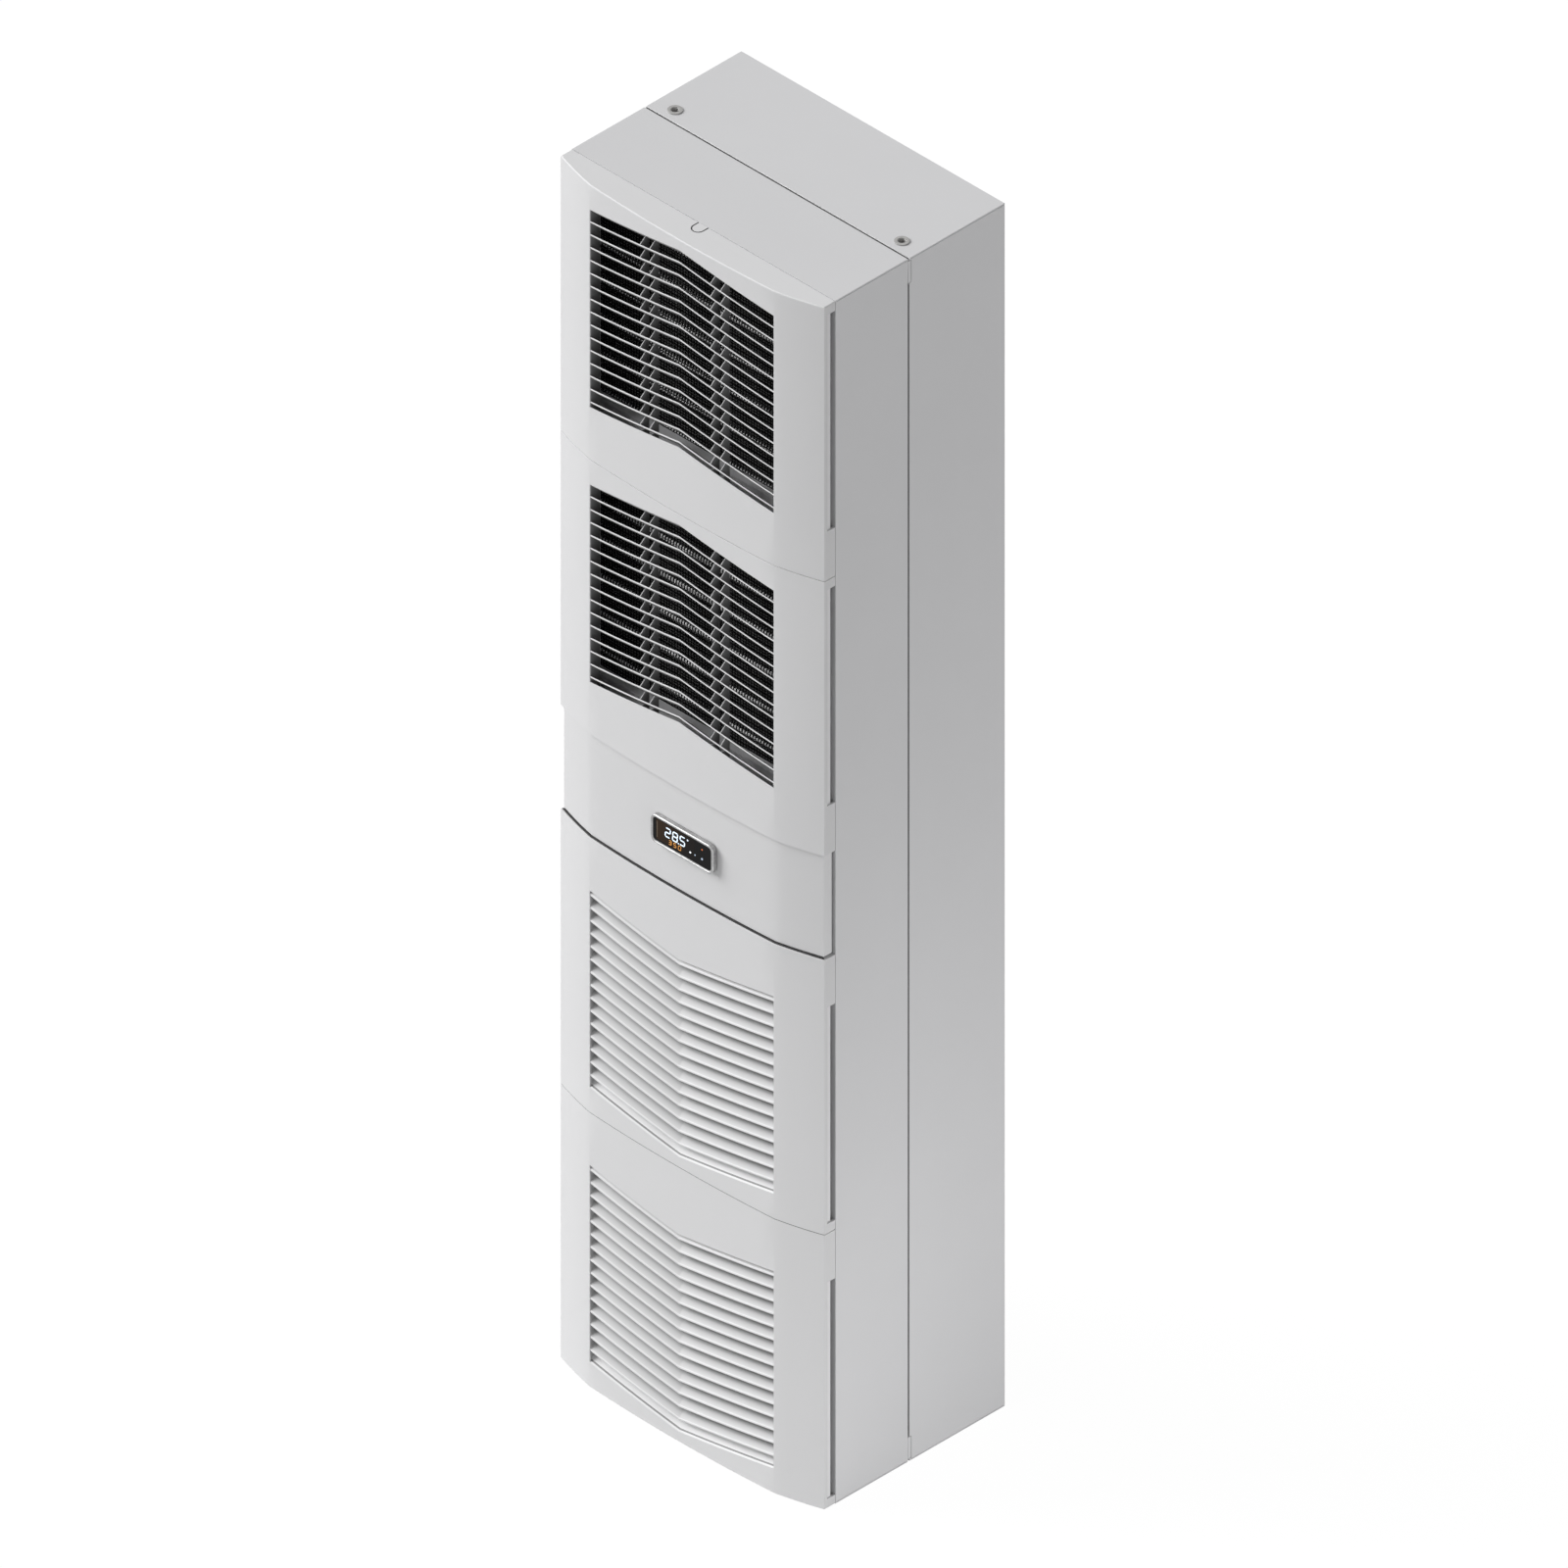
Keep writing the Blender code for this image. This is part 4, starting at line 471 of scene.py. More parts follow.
# Ribs darker than the covers: painted shade.
rib_skin = moulded("rib_moulding", 0.5, inner=(painted_rib_side_shade, 0.24))
panel_skin = moulded("panel_moulding", 0.7)
zinc_plain = zinc("zinc_sheet", 0.5)
zinc_dark = zinc("zinc_sheet_dull", 0.32, 0.42)
steel_turned = brushed("turned_steel", 0.42, (60, 60, 2600), 0.42, (1, 0.99, 0.97), metallic=0.35)
chrome_brushed = brushed("bezel_metal", 0.44, (160, 260, 420), 0.34, spread=0.5)
coil_tube = tube_between("coil_tubes")
copper_skin = copper("line_copper")
drier_skin = copper("drier_copper")
brass_skin = brushed("valve_brass", 0.55, (900, 900, 60), 0.25, (1, 0.78, 0.36))
black_plastic = moulded("black_plastic", 0.02, 0.42, (1, 1, 1), 1100, 0.1)
wheel_plastic = moulded("wheel_plastic", 0.06, 0.45, (1, 1, 1.02), 900, 0.08)
tray_plastic = moulded("tray_plastic", 0.24, 0.5, (0.97, 1, 1.04))
terminal_plastic = moulded("terminal_plastic", 0.3, 0.5, (1, 1, 0.98))
rubber_black = rubber("rubber_black", 0.022, 0.62)
hose_skin = rubber("hose_grey", 0.2, 0.45)
foam_and_shade_black = foam("seal_foam")
enamel_black = enamel("black_enamel", 0.014, 0.28)
motor_skin = enamel("motor_enamel", 0.03, 0.34)
fins_black = fin_black("coil_fins")
fin_edge_highlights = fin_black("coil_fin_edge_highlights", 0.22)
fins_bare = finned("evaporator_fins", 2.1 * mm)
board_skin = circuit("circuit_board")
glass_skin = glass_black("display_glass")
lcd_skin = lcd_brown("display_window")
line_skin = moulded("display_border", 0.16, 0.3, (1, 0.7, 0.4))
digit_white = lamp("digit_white", (0.72, 0.86, 1.0), 1.5)
digit_amber = lamp("digit_amber", (1.0, 0.42, 0.06), 0.75)
dot_bright = lamp("dot_bright", (0.9, 0.95, 1.0), 1.6)
dot_white = lamp("dot_white", (0.6, 0.72, 0.9), 0.8)
dot_orange = lamp("dot_orange", (1.0, 0.22, 0.04), 0.7)


# Mesh helpers


def finish(name, bm, skin, slot, body="cabinet", nodes=(), crease=32, keep_sharp=None, even=False):
    # Turn a bmesh into a piece that rides on a body and stands for CAD nodes.
    # even keeps a wide face's shade level up to its rounded edges.
    bmesh.ops.recalc_face_normals(bm, faces=bm.faces)
    limit = math.radians(crease)
    for face in bm.faces:
        face.smooth = True
    for edge in bm.edges:
        if len(edge.link_faces) == 2 and edge.calc_face_angle(0) > limit:
            edge.smooth = False
        if keep_sharp and keep_sharp(edge):
            edge.smooth = False
    mesh = bpy.data.meshes.new(name)
    bm.to_mesh(mesh)
    bm.free()
    mesh.materials.append(skin)
    made = bpy.data.objects.new(name, mesh)
    bpy.context.scene.collection.objects.link(made)
    if even:
        made.modifiers.new("level_shade", "WEIGHTED_NORMAL").keep_sharp = True
    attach(made, body)
    if nodes:
        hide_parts(*nodes)


def finished(node, bm, skin, slot, body="cabinet", **more):
    finish(node + "_finished", bm, skin, slot, body, (node,), **more)


def lifted(outline, axis, level):
    # A flat outline set across an axis at a level.
    if axis == "X":
        return [Vector((level, first, second)) for first, second in outline]
    if axis == "Y":
        return [Vector((first, level, second)) for first, second in outline]
    return [Vector((first, second, level)) for first, second in outline]


def loft(bm, rings, hollow=False):
    # A skin over rings of differing shape, for which there is no operator.
    loops = [[bm.verts.new(point) for point in ring] for ring in rings]
    pairs = list(zip(loops, loops[1:]))
    if hollow:
        pairs.append((loops[-1], loops[0]))
    for near, far in pairs:
        for index in range(len(near)):
            after = (index + 1) % len(near)
            bm.faces.new((near[index], near[after], far[after], far[index]))
    if not hollow:
        bm.faces.new(loops[0])
        bm.faces.new(loops[-1])


def prism(bm, outline, axis, start, end):
    # An outline pushed along an axis; the result is its vertices.
    near = [bm.verts.new(point) for point in lifted(outline, axis, start)]
    grown = bmesh.ops.extrude_face_region(bm, geom=[bm.faces.new(near)])["geom"]
    far = [item for item in grown if isinstance(item, bmesh.types.BMVert)]
    bmesh.ops.translate(bm, vec=lifted([(0, 0)], axis, end - start)[0], verts=far)
    return near + far


def rectangle(first_span, second_span):
    (left, right), (low, high) = first_span, second_span
    return [(left, low), (right, low), (right, high), (left, high)]


def about(centre, half):
    return (centre - half, centre + half)


def box(bm, x_span, y_span, z_span):
    return prism(bm, rectangle(x_span, z_span), "Y", *y_span)


def circle(centre, radius, sides):
    turns = [math.tau * index / sides for index in range(sides)]
    return [(centre[0] + radius * math.cos(turn), centre[1] + radius * math.sin(turn))
            for turn in turns]


def ring(centre, wide, up, radius, sides):
    # A circle in space, on two directions at right angles.
    return [centre + (wide * first + up * second) * radius
            for first, second in circle((0, 0), 1, sides)]


def rounded(centre, size, corner, steps=8):
    # A rectangle with round corners.
    outline = []
    for quarter, (across, up) in enumerate(((1, 1), (-1, 1), (-1, -1), (1, -1))):
        middle_x = centre[0] + across * (size[0] / 2 - corner)
        middle_z = centre[1] + up * (size[1] / 2 - corner)
        for step in range(steps + 1):
            angle = math.pi / 2 * (quarter + step / steps)
            outline.append((middle_x + corner * math.cos(angle),
                            middle_z + corner * math.sin(angle)))
    return outline


def corner_curve(before, corner, after, radius, most, steps):
    # The curve that rounds a corner; it takes up no more than the share most of each side.
    back, ahead = before - corner, after - corner
    reach = min(radius, back.length * most, ahead.length * most)
    start, end = corner + back.normalized() * reach, corner + ahead.normalized() * reach
    points = []
    for step in range(steps + 1):
        share = step / steps
        points.append((start * (1 - share) + corner * share) * (1 - share)
                      + (corner * (1 - share) + end * share) * share)
    return points


# How near to its axis a turned profile may come
axis_gap = 0.01 * mm


def turned(bm, axis, centre, rows, start=0, radius=0.4, sides=72, steps=3):
    # A closed profile turned round an axis: rows of (radius, level) in millimetres, with the
    # level counted from start. A profile that touches the axis gives a solid body.
    corners = [Vector((across * mm, start + level * mm)) for across, level in rows]
    outline = []
    for index, corner in enumerate(corners):
        if corner.x == 0:
            outline.append(corner)
            continue
        before, after = corners[index - 1], corners[(index + 1) % len(corners)]
        outline += corner_curve(before, corner, after, radius * mm, 0.45, steps)
    verts = []
    for point in outline:
        place = (centre[0] + max(point.x, axis_gap), centre[1])
        verts.append(bm.verts.new(lifted([place], axis, point.y)[0]))
    edges = [bm.edges.new(pair) for pair in zip(verts, verts[1:] + verts[:1])]
    bmesh.ops.spin(bm, geom=verts + edges, cent=lifted([centre], axis, 0)[0],
                   axis=lifted([(0, 0)], axis, 1)[0], angle=math.tau, steps=sides, use_merge=True)


def turned_piece(node, skin, slot, axis, centre, rows, start=0, **shape):
    bm = bmesh.new()
    turned(bm, axis, centre, rows, start, **shape)
    finished(node, bm, skin, slot)


def carve(bm, cutter, operation="DIFFERENCE"):
    # One form cut with another, or joined to it. Both are used up.
    pieces = []
    for shape in (bm, cutter):
        bmesh.ops.recalc_face_normals(shape, faces=shape.faces)
        mesh = bpy.data.meshes.new("working")
        shape.to_mesh(mesh)
        shape.free()
        pieces.append(bpy.data.objects.new("working", mesh))
        bpy.context.scene.collection.objects.link(pieces[-1])
    body, tool = pieces
    change = body.modifiers.new("shape", "BOOLEAN")
    change.operation = operation
    change.solver = "EXACT"
    change.object = tool
    result = bmesh.new()
    result.from_object(body, bpy.context.evaluated_depsgraph_get())
    for piece in pieces:
        bpy.data.objects.remove(piece)
    return result


def bevelled(bm, edges, size, steps=2):
    bmesh.ops.recalc_face_normals(bm, faces=bm.faces)
    bmesh.ops.bevel(bm, geom=edges, offset=size, offset_type="OFFSET", segments=steps, profile=0.5,
                    affect="EDGES", clamp_overlap=False, material=-1)


def cad_copy(node):
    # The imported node's own form, with its triangles joined back into flat faces.
    bm = bmesh.new()
    bm.from_mesh(frame["nodes"][node].data)
    bmesh.ops.remove_doubles(bm, verts=bm.verts, dist=0.002 * mm)
    bmesh.ops.dissolve_limit(bm, angle_limit=math.radians(1), verts=bm.verts, edges=bm.edges)
    return bm


def sharp_edges(bm, shortest=0):
    limit = math.radians(60)
    return [edge for edge in bm.edges if len(edge.link_faces) == 2
            and edge.calc_face_angle(0) > limit and edge.calc_length() > shortest]


def softened(node, skin, slot, size, shortest=0, steps=2):
    # The CAD form with its longer edges rounded; sizes in millimetres.
    bm = cad_copy(node)
    edges = sharp_edges(bm, shortest * mm)
    if edges:
        bevelled(bm, edges, size * mm, steps)
    finished(node, bm, skin, slot)


def tube(node, route, radius, skin, slot, bend=12):
    # A bent tube; its route, radius and bends are given in millimetres.
    points = [Vector(point) * mm for point in route]
    line = [points[0]]
    for before, corner, after in zip(points, points[1:], points[2:]):
        line += corner_curve(before, corner, after, bend * mm, 0.5, 8)
    line.append(points[-1])
    bm = bmesh.new()
    rings = []
    side = None
    for index, point in enumerate(line):
        ahead = (line[min(index + 1, len(line) - 1)] - line[max(index - 1, 0)]).normalized()
        if side is None:
            side = ahead.orthogonal().normalized()
        side = (side - ahead * side.dot(ahead)).normalized()
        rings.append(ring(point, side, ahead.cross(side), radius * mm, 24))
    loft(bm, rings)
    finished(node, bm, skin, slot)


# Louvre covers


def front_line(inset=0):
    # The plan of the front, left to right: chamfer and middle are both shallow arcs.
    left = []
    side = Vector((-half_width, -side_depth))
    crease = Vector((-crease_x, -crease_depth))
    along = crease - side
    outward = Vector((along.y, -along.x)).normalized()
    for step in range(6):
        share = step / 6
        left.append(side + along * share + outward * chamfer_bulge * 4 * share * (1 - share))
    rise = cover_depth - crease_depth
    for step in range(8):
        x = -crease_x * (1 - step / 8)
        left.append(Vector((x, -cover_depth + rise * (x / crease_x) ** 2)))
    line = [Vector((-half_width, 0))] + left + [Vector((0, -cover_depth))]
    line += [Vector((-point.x, point.y)) for point in reversed(left)] + [Vector((half_width, 0))]
    if not inset:
        return line
    normals = []
    for start, end in zip(line, line[1:]):
        along = (end - start).normalized()
        normals.append(Vector((-along.y, along.x)))
    moved = [line[0] + normals[0] * inset]
    for point, before, after in zip(line[1:-1], normals, normals[1:]):
        moved.append(point + (before + after) * inset / (1 + before.dot(after)))
    moved.append(line[-1] + normals[-1] * inset)
    return moved


outer_line = front_line()


def front_y(x):
    for start, end in zip(outer_line[1:-1], outer_line[2:-1]):
        if start.x <= x <= end.x:
            share = (x - start.x) / (end.x - start.x)
            return seam_y + start.y * (1 - share) + end.y * share
    return seam_y - side_depth


def profile_solid(bm, inset, back, z_span):
    # A block with the plan of the front, from its face to back.
    line = front_line(inset)
    outline = [(point.x, seam_y + point.y) for point in line]
    outline[0] = (line[0].x, back)
    outline[-1] = (line[-1].x, back)
    prism(bm, outline, "Z", *z_span)


def rim_edges(bm, levels, back):
    # The front edges of a profile solid at its top and bottom.
    found = []
    for edge in bm.edges:
        heights = [vert.co.z for vert in edge.verts]
        depths = [vert.co.y for vert in edge.verts]
        flat = any(all(abs(z - level) < 1e-6 for z in heights) for level in levels)
        if flat and not all(abs(y - back) < 1e-6 for y in depths):
            found.append(edge)
    return found


def louvre_top(x):
    # The height of a window's V-shaped upper edge, from the middle of its cover.
    return module_height / 2 - louvre_drop + louvre_rise * (1 - abs(x) / louvre_half)


def stations(half):
    # The places across where the front line has its corners, and the two ends.
    inner = [point.x for point in outer_line[1:-1] if abs(point.x) < half - 0.5 * mm]
    return [-half] + inner + [half]


def slanted(bm, half, section):
    # One section repeated across the cover. Its points are how far they lie behind the face and
    # below the window's top.
    rings = []
    for x in stations(half):
        y, top = front_y(x), louvre_top(x)
        rings.append([Vector((x, y + depth, top - drop)) for depth, drop in section])
    loft(bm, rings)


def slanted_block(rise, drop, front, back):
    return [(front, rise + front), (back, rise + back), (back, drop + back), (front, drop + front)]


def blade_section(level):
    # A slanted blade with a rounded nose.
    half = blade_thickness / math.cos(math.radians(45)) / 2
    nose, droop = 0.5 * mm, 0.4 * mm
    section = []
    for side in (-1, 1):
        for step in range(4):
            share = step / 3 if side > 0 else 1 - step / 3
            front = blade_inset + nose * share ** 2
            section.append((front, level + front + side * (half - droop * (1 - share) ** 2)))
    for side in (1, -1):
        section.append((blade_depth, level + side * half + blade_depth))
    return section


def blade_levels():
    return [first_blade + blade_pitch * index for index in range(blade_count)]


def notch_outline(half, reach, back):
    # A straight slot with a round end: the U of the notch and of its tab.
    tip = seam_y - reach + half
    outline = [(half, back), (-half, back)]
    for step in range(17):
        angle = math.pi * (1 + step / 16)
        outline.append((half * math.cos(angle), tip + half * math.sin(angle)))
    return outline


def ribs():
    # Upright ribs that step back from each blade to the next.
    bm = bmesh.new()
    bite, inset = 10 * mm, 0.8 * mm
    levels = [-collar_wall / 2] + blade_levels() + [louvre_height + collar_wall / 2]
    back = blade_depth + 0.25 * mm
    for place in rib_places:
        for x in (-place, place):
            y, top = front_y(x), louvre_top(x)
            outline = []
            for level in levels:
                outline.append((y + inset, top - level - inset))
                outline.append((y + bite, top - level - bite))
            outline = outline[1:-1]
            outline.append((y + back, top - levels[-1] - back))
            outline.append((y + back, top - levels[0] - back))
            prism(bm, outline, "X", *about(x, rib_thickness / 2))
    return bm


def cover_form(outer_rim):
    # The moulding without blades and ribs, about its own middle: shell, slots and notch, collar
    # and side flanges, window, prongs.
    half = cover_height / 2
    back = seam_y - fit * 2
    shell = bmesh.new()
    profile_solid(shell, 0, back, (-half, half))
    bevelled(shell, rim_edges(shell, (half,), back), outer_rim, 4)
    bevelled(shell, rim_edges(shell, (-half,), back), small_rim)
    cavity = bmesh.new()
    profile_solid(cavity, cover_wall, seam_y + overrun, (-half + cover_wall, half - cover_wall))
    shell = carve(shell, cavity)
    slots = bmesh.new()
    z_span = (-module_height / 2 + side_slot_bottom, module_height / 2 - side_slot_top)
    inner = half_width - cover_wall - 0.1 * mm
    y_span = (seam_y - side_slot_front, seam_y + overrun)
    box(slots, (inner, half_width + overrun), y_span, z_span)
    box(slots, (-half_width - overrun, -inner), y_span, z_span)
    prism(slots, notch_outline(notch_width / 2, notch_width, seam_y + overrun), "Z",
          half - cover_wall * 2, half + overrun)
    shell = carve(shell, slots)
    added = bmesh.new()
    collar = slanted_block(-collar_wall, louvre_height + collar_wall, cover_wall / 3,
                           blade_depth + collar_lip)
    slanted(added, louvre_half + collar_wall, collar)
    outer = half_width - side_flange_step
    z_span = (z_span[0] - overrun, z_span[1] + overrun)
    y_span = (seam_y - side_depth + 0.5 * mm, seam_y - side_flange_back)
    box(added, (outer - cover_wall, outer), y_span, z_span)
    box(added, (-outer, -outer + cover_wall), y_span, z_span)
    shell = carve(shell, added, "UNION")
    opening = bmesh.new()
    slanted(opening, louvre_half,
            slanted_block(0, louvre_height, -cover_wall, blade_depth + overrun))
    shell = carve(shell, opening)
    for x in (-prong_x, prong_x):
        y_span = (front_y(x) + cover_wall / 2, seam_y + prong_reach)
        for z in (-prong_offset, prong_offset):
            box(shell, about(x, 1.5 * mm), y_span, about(z, 4 * mm))
    bmesh.ops.dissolve_limit(shell, angle_limit=math.radians(0.1), verts=shell.verts,
                             edges=shell.edges)
    return shell


def at_crease(edge):
    # The two upright lines where chamfer and middle meet stay crisp.
    if len(edge.link_faces) != 2 or edge.calc_face_angle(0) < math.radians(4):
        return False
    near, far = (vert.co for vert in edge.verts)
    at_line = all(abs(abs(point.x) - crease_x) < 3.2 * mm for point in (near, far))
    return at_line and abs(near.z - far.z) > 2 * mm


def at_middle(edge):
    # The line where the two halves of a V-shaped blade meet.
    return all(abs(vert.co.x) < 0.1 * mm for vert in edge.verts)


def placed(form, number):
    # The lower two are half turned about the line that runs front to back.
    move = Matrix.Translation((0, 0, module_bottoms[number] + module_height / 2))
    if number in flipped_covers:
        move = move @ Matrix.Rotation(math.pi, 4, "Y")
    bm = form.copy()
    bmesh.ops.transform(bm, matrix=move, verts=bm.verts)
    return bm


def louvre_covers():
    shells = {True: cover_form(large_rim), False: cover_form(small_rim)}
    blades = bmesh.new()
    for level in blade_levels():
        slanted(blades, louvre_half + collar_wall / 2, blade_section(level))
    plates = ribs()
    for number in module_bottoms:
        node = f"louvre_cover_{number}"
        body = f"cover_{number}"
        shell = placed(shells[number in outer_covers], number)
        finish(node + "_shell", shell, cover_skin, "cover_plastic", body, (node,),
               keep_sharp=at_crease, even=True)
        finish(node + "_blades", placed(blades, number), blade_skin, "cover_plastic", body,
               crease=50, keep_sharp=at_middle)
        finish(node + "_ribs", placed(plates, number), rib_skin, "cover_plastic", body)


def release_tabs():
    half = notch_width / 2 - notch_gap
    reach = notch_width - notch_gap
    rest = seam_gap / 2
    wall, step_back = 1.2 * mm, 0.4 * mm
    spans = {
        "top": (height - rest - tongue_thickness, height - rest),
        "bottom": (rest, rest + tongue_thickness),
    }
    for end, (low, high) in spans.items():
        bm = bmesh.new()
        prism(bm, notch_outline(half, reach, seam_y - fit), "Z", low, high)
        finished(f"release_tab_{end}", bm, cover_skin, "cover_plastic", f"{end}_tab")
        if end == "top":
            high -= step_back
        else:
            low += step_back
        # A black ring in the gap round the tab, as painted shade.
        near, far = 0.05 * mm, 0.05 * mm + wall
        rings = []
        for offset, level in ((near, low), (far, low), (far, high), (near, high)):
            outline = notch_outline(half + offset, reach + offset, seam_y - fit)
            rings.append(lifted(outline, "Z", level))
        bm = bmesh.new()
        loft(bm, rings, hollow=True)
        finish(f"tab_gap_shade_{end}", bm, foam_and_shade_black, "seal_rubber", f"{end}_tab")


# Cabinet


def grooved_box(node, skin, y_span):
    # The folded sheet: rounded long edges and the fine shadow line under each long top edge.
    def outermost(point):
        at_side = abs(abs(point.x) - half_width) < 0.05 * mm
        return at_side or min(point.z, height - point.z) < 0.05 * mm

    bm = cad_copy(node)
    long_edges = [edge for edge in sharp_edges(bm, 60 * mm)
                  if all(outermost(vert.co) for vert in edge.verts)
                  and any(vert.co.y > seam_y + 1 * mm for vert in edge.verts)]
    bevelled(bm, long_edges, 0.7 * mm, 3)
    grooves = bmesh.new()
    for side in (-1, 1):
        x_span = sorted((side * (half_width - 0.75 * mm), side * (half_width + overrun)))
        for z in (height - 1.7 * mm, 1.7 * mm):
            box(grooves, x_span, (y_span[0] + 2 * mm, y_span[1] - 2 * mm), about(z, 0.4 * mm))
    finished(node, carve(bm, grooves), skin, "hood_paint", even=True)


bezel_centre = (7.5 * mm, 791 * mm)
bezel_size = (95 * mm, 37 * mm)
bezel_corner = 8 * mm
bezel_border = 3.4 * mm
bezel_fillet = 1.6 * mm
panel_face_y = seam_y - cover_depth + panel_set_back
bezel_front_y = panel_face_y - 6.4 * mm
neck_back_y = panel_face_y + 7 * mm
ledge_y = panel_face_y - 1 * mm
glass_y = bezel_front_y + 1.4 * mm
print_layer = 0.04 * mm


def within_bezel(inset, corner, steps=8):
    size = (bezel_size[0] - inset * 2, bezel_size[1] - inset * 2)
    return rounded(bezel_centre, size, corner, steps)


def display_panel():
    low = band_bottom + 2 * mm - seam_gap / 2
    high = band_bottom + band_height - seam_gap / 2
    back = seam_y - 3 * mm
    bm = bmesh.new()
    profile_solid(bm, panel_set_back, back, (low, high))
    bevelled(bm, rim_edges(bm, (low, high), back), 1 * mm, 3)
    cavity = bmesh.new()
    profile_solid(cavity, panel_set_back + cover_wall, back + overrun,
                  (low + cover_wall, high - cover_wall))
    bm = carve(bm, cavity)
    opening = bmesh.new()
    prism(opening, within_bezel(2.5 * mm, 5.2 * mm), "Y", seam_y - cover_depth, seam_y - 26 * mm)
    bm = carve(bm, opening)
    for x in (-150 * mm, 150 * mm):
        start = front_y(x) + panel_set_back + cover_wall * 2 / 3
        length = (seam_y - fit - start) / mm
        for z in (-45 * mm, 45 * mm):
            turned(bm, "Y", (x, (low + high) / 2 + z), [(0, 0), (5, 0), (5, length), (0, length)],
                   start, radius=0.3, sides=32)
    finished("display_panel", bm, panel_skin, "cover_plastic", keep_sharp=at_crease, even=True)


def display_bezel():
    quarter = [math.pi / 2 * step / 8 for step in range(9)]
    profile = [(bezel_border, bezel_front_y + 0.9 * mm)]
    for angle in quarter:
        profile.append((bezel_border - 0.9 * mm - 0.7 * mm * math.sin(angle),
                        bezel_front_y + 0.5 * mm * (1 - math.sin(angle))))
    for angle in quarter:
        profile.append((bezel_fillet * (1 - math.sin(angle)),
                        bezel_front_y + bezel_fillet * (1 - math.cos(angle))))
    neck = 2.8 * mm
    profile += [
        (0, panel_face_y - 0.5 * mm), (0.2 * mm, panel_face_y - fit), (neck, panel_face_y - fit),
        (neck, neck_back_y), (6.4 * mm, neck_back_y), (6.4 * mm, ledge_y), (bezel_border, ledge_y),
    ]
    rings = []
    for inset, level in profile:
        corner = max(bezel_corner - inset, 2 * mm)
        rings.append(lifted(within_bezel(inset, corner, 10), "Y", level))
    bm = bmesh.new()
    loft(bm, rings, hollow=True)
    finished("display_bezel", bm, chrome_brushed, "bezel_metal", crease=40)


segments = {"0": "abcdef", "2": "abged", "3": "abgcd", "5": "afgcd", "8": "abcdefg"}


def digit(mark, left, bottom, size, stroke):
    # The strokes of a seven-segment digit, with the slight lean of such displays.
    wide, tall = size
    ends = {
        "a": ((0, tall), (wide, tall)),
        "b": ((wide, tall), (wide, tall / 2)),
        "c": ((wide, tall / 2), (wide, 0)),
        "d": ((0, 0), (wide, 0)),
        "e": ((0, tall / 2), (0, 0)),
        "f": ((0, tall), (0, tall / 2)),
        "g": ((0, tall / 2), (wide, tall / 2)),
    }
    strokes = []
    for name in segments[mark]:
        start, end = (Vector(point) for point in ends[name])
        along = (end - start).normalized()
        across = Vector((-along.y, along.x)) * stroke / 2
        start, end = start + along * stroke * 0.12, end - along * stroke * 0.12
        corner = along * stroke / 2
        points = (start, start + corner + across, end - corner + across, end,
                  end - corner - across, start + corner - across)
        strokes.append([((left + point.x + point.y * 0.09) * mm, (bottom + point.y) * mm)
                        for point in points])
    return strokes


def printed(name, skin, outlines, front=3, back=1):
    # Flat marks on the display's glass, from one thin layer over it to another.
    bm = bmesh.new()
    for outline in outlines:
        prism(bm, outline, "Y", glass_y - print_layer * front, glass_y - print_layer * back)
    finish(name, bm, skin, "display_glass")


def spot(x, z, radius, sides=20):
    return circle((x * mm, z * mm), radius * mm, sides)


def display():
    bm = bmesh.new()
    prism(bm, within_bezel(3.7 * mm, 4.3 * mm), "Y", glass_y, ledge_y - fit)
    finished("display_glass", bm, glass_skin, "display_glass")
    window = rounded((-3 * mm, 791.5 * mm), (58 * mm, 26 * mm), 1.2 * mm, 3)
    printed("display_window", lcd_skin, [window], 1, 0)
    border = rectangle(about(-30.6 * mm, 0.35 * mm), (781 * mm, 802 * mm))
    printed("display_border", line_skin, [border], 2)
    reading, setting = [], []
    for index, mark in enumerate("285"):
        reading += digit(mark, -18.4 + index * 11, 788.3, (7, 11.4), 1.5)
    for index, mark in enumerate("350"):
        setting += digit(mark, -13 + index * 7.2, 780.3, (3.7, 5.4), 0.8)
    reading += [spot(1.6, 788.1, 0.9, 12), spot(15.6, 799.2, 1.1)]
    printed("display_reading", digit_white, reading)
    printed("display_setting", digit_amber, setting)
    printed("display_dot_bright", dot_bright, [spot(19.6, 785.5, 1.2)])
    printed("display_dot_middle", dot_white, [spot(26.8, 785.5, 0.9)])
    printed("display_dot_right", dot_white, [spot(37.4, 785.5, 1.3)])
    printed("display_dot_orange", dot_orange, [spot(37.4, 797.8, 1.0)])


